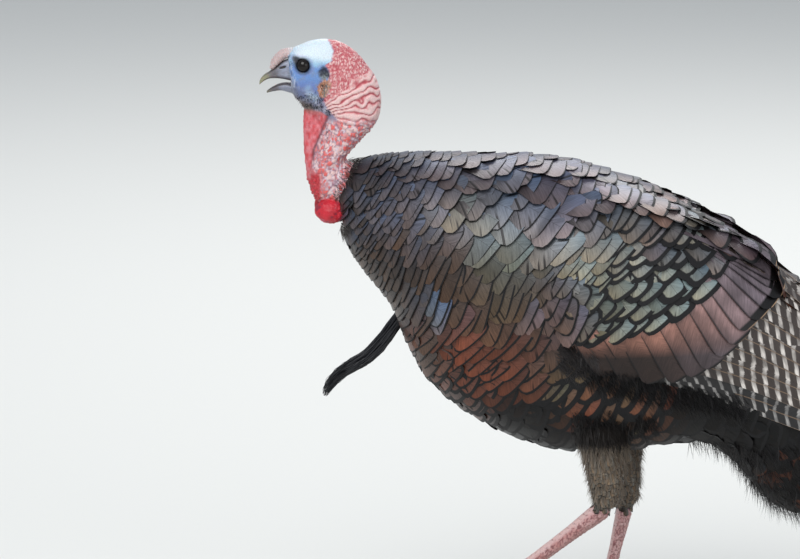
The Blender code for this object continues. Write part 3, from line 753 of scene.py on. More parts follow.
def colour_eye_and_ear(skin, points, at):
    """The ochre patch, the dark ear and the dark skin round the eye."""
    x, z = at.x, at.z
    gap = np.hypot((x + 369) / 7.5, (z - 685 - 0.5 * (x + 369)) / 10)
    ochre = step(1.15, 0.75, gap + 0.35 * at.fine + 0.45 * at.grain) * at.side
    patchy = cloud(points * (2, 1, 0.7), 2.6, 44)
    rusty = mix(hue("ochre"), linear("D9A98E"), step(0.1, 0.6, patchy))
    rusty = mix(rusty, linear("7D7A6A"), step(-0.1, -0.6, patchy))
    skin = mix(skin, rusty, 0.85 * ochre)
    # painted shade: the ear's hollow is dark towards its top, grey below
    earth = mix(linear("2A2630"), linear("9AA09A"), step(706, 698, z) * (0.5 + 0.5 * at.fine))
    skin = mix(skin, earth, 0.9 * at.ear)
    # painted shade: the skin that falls away inside the lids is painted near black
    skin = mix(skin, linear("131524"), at.inside)
    socket = hump(at.lid, 0.5, 2.0) * at.side
    socket = socket * (0.75 + 0.25 * step(-2, 5, at.over - 0.4 * at.ahead))
    skin = mix(skin, linear("1B2238"), 0.88 * socket)
    return mix(skin, linear("7E86C8"), 0.35 * at.furrow)


def sculpt_head(points, normals):
    """Moves the bare skin into folds, lids and beads, and colours it to match."""
    at = head_regions(points)
    fold_nape(points, at)
    bead_neck(points, at)
    swell_wattles(points, at)
    shape_face(points, at)
    moved = open_eye(points, normals, at)
    skin = colour_neck(colour_face(points, at), points, at)
    skin = colour_eye_and_ear(colour_wattles(skin, points, at), points, at)
    return moved, np.clip(skin, 0, 1)


def body_form():
    """A smooth copy of the feathered nodes, drawn in by the coat's depth."""
    sizes, _colours = props()
    form = remesh(copy_nodes("body_form", FLESH), sizes.hull_grain, 6)
    points, normals = surface(form.data)
    reshape(form.data, points - normals * (sizes.coat_depth / MM))
    paint(form, "Paint", np.tile(linear("2B241F"), (len(points), 1)))
    return form


# Where the lamps aim, and the camera, in metres and radians
LIT_SPOT = (-0.1, 0, 0.4)
CAMERA_TARGET = (-0.28 + SHIFT[0] * MM, 0, 0.4536)
CAMERA_DISTANCE = 7.5
CAMERA_PITCH = math.radians(11)
VIEW_WIDTH = 16 / 17  # what the view takes in at the bird's middle plane
SENSOR = 36  # millimetres


def make_stage():
    """The floor, the light and the camera."""
    bpy.ops.mesh.primitive_plane_add(size=80)
    floor = bpy.context.active_object
    floor.name = "floor"
    # matt paint, so the floor takes soft shadows and gives no glint
    made, tree, shader = node_material("pale matt floor")
    dress(tree, shader, {"Base Color": rgba("DCDCD8"), "Roughness": 0.9})
    floor.data.materials.append(made)
    for name, place, power, size in (
        ("key", (-1.6, -3.0, 4.0), 150, 3.0),
        ("fill", (2.6, -3.2, 1.8), 35, 3.0),
        ("rim", (0.5, 3.0, 3.2), 90, 2.4),
    ):
        bpy.ops.object.light_add(type="AREA", location=place)
        lamp = bpy.context.active_object
        lamp.name = name
        lamp.data.energy = power
        lamp.data.size = size
        aim = Vector(LIT_SPOT) - Vector(place)
        lamp.rotation_euler = aim.to_track_quat("-Z", "Y").to_euler()
    world = bpy.data.worlds.new("studio")
    world.use_nodes = True
    sky = world.node_tree.nodes["Background"]
    sky.inputs["Color"].default_value = (0.86, 0.92, 1.0, 1)
    sky.inputs["Strength"].default_value = 0.55
    bpy.context.scene.world = world
    look = Vector((0, math.cos(CAMERA_PITCH), -math.sin(CAMERA_PITCH)))
    bpy.ops.object.camera_add(location=Vector(CAMERA_TARGET) - look * CAMERA_DISTANCE)
    camera = bpy.context.active_object
    camera.rotation_euler = look.to_track_quat("-Z", "Y").to_euler()
    camera.data.sensor_width = SENSOR
    camera.data.lens = SENSOR * CAMERA_DISTANCE / VIEW_WIDTH
    camera.data.clip_end = 200
    bpy.context.scene.camera = camera
    bpy.context.scene.view_settings.view_transform = "Standard"


def skin_material():
    """Bare turkey skin, fleshy and moist: light soaks in a little and glints on its beads."""
    made, tree, shader = node_material("bare wattled skin")
    tint = add(tree, "Attribute", attribute_name="Paint")
    where = ("Vector", add(tree, "TexCoord").outputs["Object"])
    # scales are for a metre: pores 1.1 mm apart and small beads 2.4 mm apart
    pores = add(tree, "TexNoise", where, ("Scale", 900.0), ("Detail", 3.0))
    cells = add(tree, "TexVoronoi", where, ("Scale", 420.0))
    speck = add(tree, "MapRange", pores, 0.35, 0.7, 0.86, 1.08)
    painted = add(tree, "MixRGB", 1.0, tint.outputs["Color"], speck, blend_type="MULTIPLY")
    bumps = add(tree, "Math", pores.outputs["Fac"], cells.outputs["Distance"], operation="ADD")
    bump = add(tree, "Bump", ("Height", bumps), ("Strength", 0.35), ("Distance", 0.0006))
    dress(tree, shader, {
        "Base Color": painted, "Normal": bump, "Roughness": 0.46, "Subsurface Weight": 0.12,
        "Subsurface Radius": (0.004, 0.0015, 0.001), "Subsurface Scale": 0.6,
    })
    return made


# The nodes that the skin stands for
HEAD_NODES = ("head", "neck_upper", "neck_lower", "snood", "dewlap", *both("caruncle"))
BODY = ("breast", "trunk", "rump")
WINGS = ("wing_left", "wing_right")
FLESH = (*BODY, "tail_coverts_under", *WINGS, "thigh_left", "thigh_right")
LEG_NODES = both("shank", "foot", "toe_hind", "toe_inner", "toe_middle", "toe_outer")


def shank_places(points, normals):
    """For each point of the legs: its distance from the nearer shank's line, how far down that
    line it is, how much it faces forwards, and whether it is on the soft back of the heel."""
    away = np.full(len(points), 1e9)
    along, front, heel = np.zeros(len(points)), np.zeros(len(points)), np.zeros(len(points))
    for side in SIDES:
        top, foot = np.array(HOCK[side], float), np.array(KNUCKLE[side], float)
        way = unit(foot - top)
        share = np.clip((points - top) @ way, -12, np.linalg.norm(foot - top) + 6)
        gap = np.linalg.norm(points - top - share[:, None] * way, axis=1)
        closer = gap < away
        away = np.where(closer, gap, away)
        facing = normals @ unit(np.array((-1.0, 0, 0)) - way * -way[0])
        along = np.where(closer, share, along)
        front = np.where(closer, facing, front)
        heel = np.where(closer, step(14, -4, share) * step(0.3, -0.5, facing), heel)
    return away, along, front, heel


def leg_form():
    """The scaled legs: broad plates down the front and over the toes, small scales elsewhere."""
    form = remesh(copy_nodes("leg_form", LEG_NODES), LEG_GRAIN, 5)
    points, normals = surface(form.data)
    away, along, front, heel = shank_places(points, normals)
    toes = step(13, 16, away)
    on_left = (points[:, :1] < -110)
    reach = np.linalg.norm(points - np.where(on_left, KNUCKLE["left"], KNUCKLE["right"]), axis=1)
    plates = np.where(toes > 0.5, reach / TOE_PLATE, along / SHANK_PLATE + 0.25 * np.abs(front))
    line = np.abs((plates + 0.12 * cloud(points, 8, 61)) % 1 - 0.5) * 2
    broad = step(0.35, 0.6, front) * (1 - toes)
    broad = np.maximum(broad, step(0.1, 0.45, normals[:, 2]) * toes)
    first, second, number = beads(points * (1, 1, 0.8), 3.4, 62)
    scale = np.clip((second - first) * 2.2, 0, 1)
    relief = np.clip((1 - line) * 5, 0, 1) * broad + scale * (1 - broad)
    reshape(form.data, points + normals * (0.75 * relief - 0.35)[:, None])
    paler = np.clip(broad * 0.7 + 0.5 * number * (1 - broad), 0, 1)
    tone = mix(linear("C08E8C"), linear("D9BDB9"), paler)
    blotch = step(0.1, 0.8, cloud(points, 16, 63)) * (1 - broad)
    tone = mix(tone, linear("B0736E"), 0.6 * blotch)
    # painted shade in the grooves between the scales
    tone = mix(tone, linear("6E3538"), 0.85 * step(0.45, 0.1, relief))
    tone = mix(tone, linear("7E7F8C"), 0.75 * heel)
    tone = mix(tone, linear("8A6B66"), 0.5 * toes * step(0.2, -0.6, normals[:, 2]))
    paint(form, "Paint", tone)
    return form


def make_claws():
    """Claws and spurs of mottled dark horn, worn to a soft gloss."""
    made, tree, shader = node_material("claw horn")
    where = ("Vector", add(tree, "TexCoord").outputs["Object"])
    grain = add(tree, "TexNoise", where, ("Scale", 500.0), ("Detail", 3.0))  # 2 mm mottle
    share = add(tree, "MapRange", grain, 0.35, 0.65)
    shade = add(tree, "MixRGB", share, rgba("2A2422"), rgba("5A4E48"))
    bump = add(tree, "Bump", ("Height", grain), ("Strength", 0.3), ("Distance", 0.0003))
    dress(tree, shader, {"Base Color": shade, "Normal": bump, "Roughness": 0.36})
    for node in both("claw_hind", "claw_inner", "claw_middle", "claw_outer", "spur"):
        claw = remesh(copy_nodes(f"{node}_horn", [node]), CLAW_GRAIN, 5)
        claw.data.materials.append(made)
        shade_smooth(claw)
        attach(claw, "root")
        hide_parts(node)


def make_skin():
    """One skin for the bare head and neck, the body under its coat, and the legs."""
    head = head_form()
    moved, tints = sculpt_head(*surface(head.data))
    reshape(head.data, moved)
    paint(head, "Paint", tints)
    skin = join("skin", [head, body_form(), leg_form()])
    skin.data.materials.clear()
    skin.data.materials.append(skin_material())
    shade_smooth(skin)
    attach(skin, "root")
    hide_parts(*HEAD_NODES, *FLESH, *LEG_NODES)


# ---------------------------------------------------------------------------------------------
# Plumage
# ---------------------------------------------------------------------------------------------

# Feather tracts: x and z of the middle, degrees the lie falls below backwards, length and width
# that each feather shows, face colour, the colour it varies to, width of the black tip band
BODY_TRACTS = {
    "hackle top": (-325, 584, 30, 5.2, 20, "slate", "charcoal", 1.2),
    "hackle": (-327, 539, 34, 5, 20, "slate", "charcoal", 1.4),
    "low hackle": (-321, 483, 24, 6, 22, "charcoal", "bronze", 1.6),
    "cape": (-274, 584, 28, 9, 32, "slate", "slate", 1.2),
    "middle cape": (-274, 534, 30, 9, 32, "slate", "bronze", 1.2),
    "low cape": (-280, 474, 14, 8.5, 34, "charcoal", "bronze", 1.8),
    "shoulder top": (-209, 596, 28, 14, 40, "slate", "mauve", 1.3),
    "shoulder": (-209, 555, 36, 15, 44, "slate", "olive", 1.3),
    "low shoulder": (-215, 509, 34, 14, 42, "bronze", "steel", 1.8),
    "mantle top": (-127, 599, 22, 13.5, 38, "mauve", "slate", 1.8),
    "mantle": (-139, 562, 42, 16, 46, "slate", "steel", 1.6),
    "low mantle": (-156, 516, 46, 15, 44, "teal", "olive", 2),
    "wing bend": (-128, 495, 40, 8, 22, "olive", "slate", 1.4),
    "back top": (-45, 577, 18, 12.5, 36, "mauve", "slate", 2.2),
    "back": (-62, 549, 34, 14.5, 40, "mauve", "slate", 2.6),
    "saddle": (26, 546, 26, 15, 38, "mauve", "pink", 4),
    "rump": (110, 508, 26, 19, 40, "mauve", "pink", 5),
    "breast front": (-289, 433, 22, 9, 32, "bronze", "charcoal", 1.8),
    "side": (-233, 461, 14, 11.5, 42, "bronze", "steel", 2.8),
    "side rear": (-162, 463, 12, 12.5, 44, "bronze", "olive", 3.2),
    "side end": (-109, 439, 20, 12.5, 38, "bronze", "mauve", 2.8),
    "low chest": (-251, 386, 32, 10, 36, "bronze", "copper", 2.6),
    "copper": (-198, 383, 46, 9.5, 34, "copper", "rust", 2.6),
    "copper rear": (-127, 373, 42, 12, 38, "copper", "bronze", 3.6),
    "flank": (-62, 348, 34, 14, 38, "rust", "olive", 6.8),
    "flank rear": (-2, 329, 26, 15, 38, "olive", "rust", 8),
    "flank end": (70, 310, 20, 16, 38, "soot", "soot", 5),
    "belly front": (-221, 329, 26, 11, 32, "copper", "charcoal", 5),
    "belly": (-127, 293, 20, 13, 34, "soot", "soot", 5),
    "belly rear": (-45, 273, 18, 14, 34, "soot", "soot", 5),
    "vent": (120, 240, 20, 16, 30, "soot", "soot", 5),
    "undertail": (250, 160, 34, 22, 34, "soot", "chestnut", 8),
    "tail covert": (230, 410, 34, 17, 20, "bronze", "copper", 4),
    "scapular front": (-56, 499, 42, 8, 24, "olive", "silver", 1.6),
    "scapular": (2, 511, 50, 11.5, 32, "silver", "slate", 5),
    "scapular top": (2, 548, 44, 13.5, 36, "mauve", "silver", 4),
    "low scapular": (-21, 452, 50, 11, 30, "silver", "olive", 5),
    "lesser covert": (61, 508, 50, 13, 32, "silver", "slate", 6.5),
    "low covert": (49, 469, 52, 13, 32, "silver", "teal", 6.5),
}
TRACT_REACH = 30.0  # how far a tract's values spread from its middle
COAT_GRAIN = 4 * MM  # spacing of the points of the body that feathers are laid on
TRY_AREA = 9  # square millimetres for each root that is tried
GRID_CELL = 40.0  # roots look for neighbours in grid cells of this size
LAYER_DEPTH = 12.0  # a gap in depth that counts as one feather's spacing
OVERLAP = 2.6  # a feather's length over the length that shows, before its hidden length
HIDDEN_LENGTH = 12
HALF_WIDTH = 0.74  # a feather's half width, as a share of the width that shows
ROOT_SINK = 4.4  # how far roots lie below the surface
VANE_ROWS = (0, 0.4, 0.74)  # shares along a vane before its rounded tip
TIP_TURNS = (30, 55, 75, 88)  # degrees round the tip
TIP_START = VANE_ROWS[-1]
TIP_SQUARE = 2.7  # above 2 the tip is squarer than an ellipse
VANE_COLUMNS = (-1, -0.55, 0, 0.55, 1)


def tract_values(tracts, spots):
    """The lie, sizes, colours and band of the feathers at some places."""
    _sizes, colours = props()
    rows = list(tracts.values())
    centres = np.array([row[:2] for row in rows], float)
    gap = np.linalg.norm(spots[:, None, ::2] - centres, axis=2)
    share = np.exp(-((gap / TRACT_REACH) ** 2)) + 1e-6 / (1 + gap**2)
    share /= share.sum(1, keepdims=True)
    numbers = share @ np.array([(*row[2:5], row[7]) for row in rows], float)
    faces = share @ np.array([tuple(getattr(colours, row[5])) for row in rows])
    others = share @ np.array([tuple(getattr(colours, row[6])) for row in rows])
    return numbers, faces, others


def lie_along(normals, fall):
    """Unit ways along the surface that fall below backwards by some degrees."""
    turn = np.radians(fall)
    ways = np.stack([np.cos(turn), np.zeros(len(turn)), -np.sin(turn)], 1)
    ways += normals * -(normals * ways).sum(1, keepdims=True)
    return unit(ways)


def scatter(hull, tracts, keep, seed, crowd=1.0):
    """Roots spread evenly over a surface, by the length and width that the feathers there show."""
    rng = np.random.default_rng(seed)
    corners, middles, cross = hull.triangles()
    area = np.where(keep(middles, unit(cross)), np.linalg.norm(cross, axis=1) / 2, 0)
    count = int(area.sum() / TRY_AREA)
    picks = rng.choice(len(area), count, p=area / area.sum())
    part = rng.random((count, 2))
    part = np.where(part.sum(1, keepdims=True) > 1, 1 - part, part)
    chosen = corners[picks]
    spots = chosen[:, 0] + part[:, :1] * (chosen[:, 1] - chosen[:, 0])
    spots += part[:, 1:] * (chosen[:, 2] - chosen[:, 0])
    normals = hull.smooth_normals(spots, picks)
    numbers, _faces, _others = tract_values(tracts, spots)
    ways = lie_along(normals, numbers[:, 0])
    sides = np.cross(normals, ways)
    grid = {}
    taken = []
    for index in range(count):
        spot = spots[index]
        key = tuple((spot // GRID_CELL).astype(int))
        near = []
        for nudge in product((-1, 0, 1), repeat=3):
            near += grid.get((key[0] + nudge[0], key[1] + nudge[1], key[2] + nudge[2]), ())
        if near:
            away = spots[near] - spot
            along = away @ ways[index] / numbers[index, 1]
            beside = away @ sides[index] / numbers[index, 2]
            over = away @ normals[index] / LAYER_DEPTH
            if (along**2 + beside**2 + over**2).min() < 0.80 * crowd:
                continue
        grid.setdefault(key, []).append(index)
        taken.append(index)
    return relax(hull, tracts, keep, spots[taken], normals[taken])


def relax(hull, tracts, keep, spots, normals, rounds=7):
    """Evens out roots by pushing each away from its neighbours, as its feather's sizes ask."""
    for _ in range(rounds):
        numbers, _faces, _others = tract_values(tracts, spots)
        ways = lie_along(normals, numbers[:, 0])
        sides = np.cross(normals, ways)
        push = np.zeros_like(spots)
        for start in range(0, len(spots), 400):
            part = slice(start, start + 400)
            away = spots[part, None] - spots[None]
            along = (away * ways[part, None]).sum(2) / numbers[part, None, 1]
            beside = (away * sides[part, None]).sum(2) / numbers[part, None, 2]
            over = (away * normals[part, None]).sum(2) / LAYER_DEPTH
            gap = np.sqrt(along**2 + beside**2 + over**2) + 1e-6
            force = np.clip(1.2 - gap, 0, None) / gap * (gap > 1e-4)
            push[part] += (force * along).sum(1)[:, None] * ways[part] * numbers[part, 1:2] * 0.16
            push[part] += (force * beside).sum(1)[:, None] * sides[part] * numbers[part, 2:3] * 0.16
        limit = numbers[:, 1:2] * 0.5
        size = np.linalg.norm(push, axis=1, keepdims=True)
        moved, turned = hull.nearest(spots + push * np.minimum(1, limit / (size + 1e-9)))
        stay = ~keep(moved, turned)
        moved[stay], turned[stay] = spots[stay], normals[stay]
        spots, normals = moved, turned
    return spots, normals


def march(hull, spots, normals, lengths, tracts, swing, steps=5):
    """Lines that run from each root along the lie of the feathers, with the surface's normals."""
    line = [spots]
    ups = [normals]
    here, up = spots, normals
    for _ in range(steps):
        numbers, _faces, _others = tract_values(tracts, here)
        ways = lie_along(up, numbers[:, 0])
        ways = unit(ways + np.cross(up, ways) * swing[:, None])
        here, up = hull.nearest(here + ways * (lengths / steps)[:, None])
        up = unit(up + ups[-1])
        line.append(here)
        ups.append(up)
    return np.stack(line, 1), np.stack(ups, 1)


def along_line(line, shares):
    """Points at some shares along each of many lines."""
    last = line.shape[1] - 1
    place = np.clip(np.asarray(shares) * last, 0, last - 1e-6)
    base = place.astype(int)
    ends = np.maximum(base - 1, 0), base, base + 1, np.minimum(base + 2, last)
    return curve(*(line[:, end] for end in ends), (place - base)[None, :, None])


def vane_shape(square, root_width, rows=VANE_ROWS):
    """Shares along a vane and its half width there: straight sides, then a rounded tip."""
    turns = np.radians(TIP_TURNS)
    start = rows[-1]
    along = [*rows, *(start + (1 - start) * np.sin(turns) ** (2 / square))]
    grow = [root_width + (1 - root_width) * step(0, start, row) for row in rows]
    return np.array(along), np.array([*grow, *(np.cos(turns) ** (2 / square))])


def vane_faces(rows, cols):
    """The upper and lower faces of one closed vane, and the grid of its upper points."""
    over = np.arange(rows * cols).reshape(rows, cols)
    under = over.copy()
    inner = np.arange((rows - 2) * (cols - 2)).reshape(rows - 2, cols - 2)
    under[1:-1, 1:-1] = rows * cols + inner
    quads = []
    for row, col in product(range(rows - 1), range(cols - 1)):
        around = ((row, col), (row, col + 1), (row + 1, col + 1), (row + 1, col))
        quads.append([over[spot] for spot in around])
        quads.append([under[spot] for spot in around[::-1]])
    return np.array(quads), over


def quad_mesh(name, points, quads):
    """A smoothly shaded mesh object of quads only, from working millimetres."""
    mesh = bpy.data.meshes.new(name)
    mesh.vertices.add(len(points))
    mesh.vertices.foreach_set("co", ((points + SHIFT) * MM).ravel())
    loops = quads.ravel().astype(np.int32)
    mesh.loops.add(len(loops))
    mesh.loops.foreach_set("vertex_index", loops)
    mesh.polygons.add(len(loops) // 4)
    mesh.polygons.foreach_set("loop_start", np.arange(0, len(loops), 4, dtype=np.int32))
    mesh.update(calc_edges=True)
    mesh.polygons.foreach_set("use_smooth", np.ones(len(mesh.polygons), bool))
    obj = bpy.data.objects.new(name, mesh)
    bpy.context.scene.collection.objects.link(obj)
    return obj, loops


def build_vanes(name, line, ups, halves, shape, camber, thickness, columns=VANE_COLUMNS):
    """One mesh of closed vanes laid on lines, with its points' shares along and across a vane."""
    along, profile = shape
    rows, cols, count = len(along), len(columns), len(line)
    middle = along_line(line, along)
    up = unit(along_line(ups, along))
    ahead = unit(np.gradient(middle, axis=1))
    side = unit(np.cross(ahead, up))
    up = np.cross(side, ahead)
    spread = np.array(columns)[None, None, :] * profile[None, :, None]
    reach = spread * halves[:, None, None]
    top = middle[:, :, None] + side[:, :, None] * reach[..., None]
    sink = camber * halves[:, None, None] * spread**2
    top = top - up[:, :, None] * sink[..., None]
    inner = top[:, 1:-1, 1:-1] - up[:, 1:-1, None] * thickness
    points = np.concatenate([top.reshape(count, -1, 3), inner.reshape(count, -1, 3)], 1)
    each = points.shape[1]
    faces, over = vane_faces(rows, cols)
    faces = faces[None] + (np.arange(count) * each)[:, None, None]
    obj, loops = quad_mesh(name, points.reshape(-1, 3), faces)
    border = np.zeros(each, bool)
    border[over[[0, -1]].ravel()] = True
    border[over[:, [0, -1]].ravel()] = True
    sharp = np.tile(border, count)[read(obj.data.edges, "vertices", 2, np.int32)].all(1)
    obj.data.attributes.new("sharp_edge", "BOOLEAN", "EDGE").data.foreach_set("value", sharp)
    inside = over[1:-1, 1:-1].ravel()
    lay, wide = np.repeat(along, cols), spread[0].ravel()
    return obj, np.append(lay, lay[inside]), np.append(wide, wide[inside]), loops


def store_maps(obj, lay, wide, loops, lengths, halves, roots):
    """Maps of each vane: its own shares, its own millimetres, and its root's place for baking."""
    own = np.tile(np.stack([0.5 + 0.5 * wide, lay], 1), (len(lengths), 1))
    size = np.stack([np.outer(halves, wide).ravel(), np.outer(lengths, lay).ravel()], 1) / 100
    patch = np.stack([wide * 0.5, lay - 0.5], 1) * PATCH
    bake = (unwrapped(roots)[:, None] + patch[None]).reshape(-1, 2)
    for name, values in (("Vane", own), ("Barbs", size), ("OFBake", bake)):
        add_map(obj, name, values[loops])


# The body's middle line on the baking map: x, and the height at each
MIDDLE_LINE = ((-450, -340, -150, 0, 185, 450), (620, 560, 470, 430, 380, 300))


def unwrapped(roots):
    """Roots on a flat map: length along the body, and the turn round its middle line."""
    turn = np.arctan2(roots[:, 1], roots[:, 2] - np.interp(roots[:, 0], *MIDDLE_LINE)) / math.tau
    along = (roots[:, 0] + 450) / 900
    return 0.02 + 0.96 * np.clip(np.stack([along, turn + 0.5], 1), 0, 1)


def vane_piece(name, material, line, ups, halves, lengths, roots, form, paints):
    """One piece of vanes with its maps, its material and a colour or three numbers for each vane.
    The form is the vane's shape, camber and thickness, and its columns where they aren't the usual.
    """
    obj, lay, wide, loops = build_vanes(name, line, ups, halves, *form)
    store_maps(obj, lay, wide, loops, lengths, halves, roots)
    for field, values in paints.items():
        paint(obj, field, np.repeat(values, len(lay), 0))
    obj.data.materials.append(bpy.data.materials[material])
    return obj


def body_hull(nodes, grain, rounds=16):
    """The smooth surface of some nodes taken together."""
    form = remesh(copy_nodes("hull", nodes), grain, rounds)
    hull = Hull(form)
    bpy.data.objects.remove(form)
    return hull


def raise_vanes(line, ups, spots, lift, rng):
    """Lifts the lines from sunk roots to tips that stand off, and rolls each feather a little, so
    that its lower edge lies over its neighbour below."""
    count = len(spots)
    shares = np.linspace(0, 1, line.shape[1])
    rise = (-ROOT_SINK + (ROOT_SINK + lift) * shares**0.8)[None]
    x, y, z = spots.T
    above = z - np.interp(x, *PANEL_TOP)
    over_wing = (np.abs(y) > 38) & (x > -125) & (x < 95) & (above > -4) & (above < 42)
    on_rump = (np.abs(y) < 46) & (x > 50) & (x < 200) & (z > 440)
    rise = rise + rng.normal(0, 0.16, count)[:, None] + rng.normal(0, 0.16, (count, 1)) * shares**2
    rise = rise + 2.2 * over_wing[:, None] * shares**0.5 + 3.0 * on_rump[:, None] * shares**0.3
    line = line + ups * rise[..., None]
    roll = 0.05 * np.tanh(y / 10) + rng.normal(0, 0.014, count)
    side = unit(np.cross(line[:, -1] - line[:, 0], ups[:, 3]))
    return line, unit(ups + side[:, None] * roll[:, None, None])


def contour_feathers(
    names, hull, tracts, keep, *, seed, crowd=1.0, lift=2.0, ragged=0.08,
    material="contour feather", tipped=1.0,
):
    """Body feathers that overlap like tiles along their tracts, in pieces from front to back."""
    sizes, _colours = props()
    rng = np.random.default_rng(seed + 1)
    spots, normals = scatter(hull, tracts, keep, seed, crowd)
    count = len(spots)
    numbers, _faces, _others = tract_values(tracts, spots)
    lengths = OVERLAP * numbers[:, 1] + HIDDEN_LENGTH
    lengths = lengths * rng.uniform(1 - ragged, 1 + ragged, count)
    halves = HALF_WIDTH * numbers[:, 2] * rng.uniform(0.9, 1.08, count)
    swing = rng.normal(0, 0.055, count)
    line, ups = march(hull, spots, normals, lengths, tracts, swing)
    line, ups = raise_vanes(line, ups, spots, lift, rng)
    numbers, faces, others = tract_values(tracts, line[:, -2])
    chance = cloud(line[:, -2], 34, seed) * 0.9 + rng.normal(0, 0.24, count)
    faces = mix(faces, others, step(-0.6, 0.9, chance)) * rng.uniform(0.76, 1.24, (count, 1))
    # painted shade: feathers that face upwards are darkened, as light from above pales them most
    faces *= 1 - 0.27 * step(0.35, 0.8, normals[:, 2])[:, None]
    band = numbers[:, 3] / ((1 - TIP_START) * lengths) * (rng.random(count) < tipped)
    inner = np.clip(numbers[:, 3] - 5.8, 0, 1) * rng.uniform(0.6, 0.72, count)
    pattern = np.stack([band, rng.random(count), inner], 1)
    form = (vane_shape(TIP_SQUARE, 0.55), 0.09, sizes.vane_thickness / MM)
    order = np.argsort(spots[:, 0])
    made = []
    for name, part in zip(names, np.array_split(order, len(names))):
        paints = {"Face": faces[part], "Pattern": pattern[part]}
        obj = vane_piece(
            name, material, line[part], ups[part], halves[part], lengths[part], spots[part],
            form, paints,
        )
        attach(obj, "root")
        made.append(obj)
    return made


# How often the noise changes along the shaft, away from it and from feather to feather. The
# first two are for 100 mm, so streaks are about 2 mm wide, where real barbs are finer.
BARB_SCALES = (46.0, 7.0, 90.0)
SPLIT_SCALES = (17.0, 1.2, 70.0)


def vane_inputs(tree):
    """What every feather's paint starts from: its three numbers, its shares across and along, its
    measures across and along, its share to one side of the shaft, and the distance from the shaft
    with the run of the barbs, which grow outwards and towards the tip."""
    pattern = add(tree, "Attribute", attribute_name="Pattern")
    number = add(tree, "SeparateColor", pattern.outputs["Color"]).outputs
    vane = add(tree, "SeparateXYZ", add(tree, "UVMap", uv_map="Vane")).outputs
    size = add(tree, "SeparateXYZ", add(tree, "UVMap", uv_map="Barbs")).outputs
    off = add(tree, "Math", size[0], operation="ABSOLUTE")
    back = add(tree, "Math", off, 0.9, operation="MULTIPLY")
    run = add(tree, "Math", size[1], back, operation="SUBTRACT")
    side = add(tree, "Math", vane[0], 0.5, operation="SUBTRACT")
    side = add(tree, "Math", side, operation="ABSOLUTE")
    return number, vane, size, side, off, run


def barb_noise(tree, off, run, chance, scales, detail):
    """Noise drawn out along the barbs, in streaks coarser than real barbs so that they show."""
    values = zip((run, off, chance), scales)
    spot = (add(tree, "Math", value, scale, operation="MULTIPLY") for value, scale in values)
    where = ("Vector", add(tree, "CombineXYZ", *spot))
    return add(tree, "TexNoise", where, ("Scale", 1.0), ("Detail", detail), ("Roughness", 0.6))


def band_mask(tree, vane, side, streak, band, chance):
    """The dark band along the end of a vane, which fades out round its corners."""
    tip = add(tree, "MapRange", vane[1], TIP_START, 1.0)
    across = add(tree, "Math", side, TIP_SQUARE, operation="POWER")
    along = add(tree, "Math", tip, TIP_SQUARE, operation="POWER")
    fade = add(tree, "MapRange", chance, 0.0, 1.0, 0.2, 0.75)
    across = add(tree, "Math", across, fade, operation="MULTIPLY")
    edge = add(tree, "Math", across, along, operation="ADD")
    edge = add(tree, "Math", edge, 1 / TIP_SQUARE, operation="POWER")
    wobble = add(tree, "MapRange", streak, 0.3, 0.7, -0.02, 0.02)
    edge = add(tree, "Math", edge, wobble, operation="ADD")
    start = add(tree, "Math", 1.0, band, operation="SUBTRACT")
    end = add(tree, "Math", start, 0.05, operation="ADD")
    return add(tree, "MapRange", edge, start, end)


def splits_and_shaft(tree, side, off, run, chance):
    """Where a vane is split between its barbs, whose gaps are painted as shade, and the fine line
    of its shaft.
    """
    gaps = barb_noise(tree, off, run, chance, SPLIT_SCALES, 0.0)
    split = add(tree, "MapRange", gaps, 0.68, 0.71)
    outer = add(tree, "MapRange", side, 0.25, 0.5, 0.0, 0.85)
    split = add(tree, "Math", split, outer, operation="MULTIPLY")
    shaft = add(tree, "MapRange", off, 0.0045, 0.0015, 0.0, 0.5)
    return add(tree, "Math", split, shaft, operation="MAXIMUM")


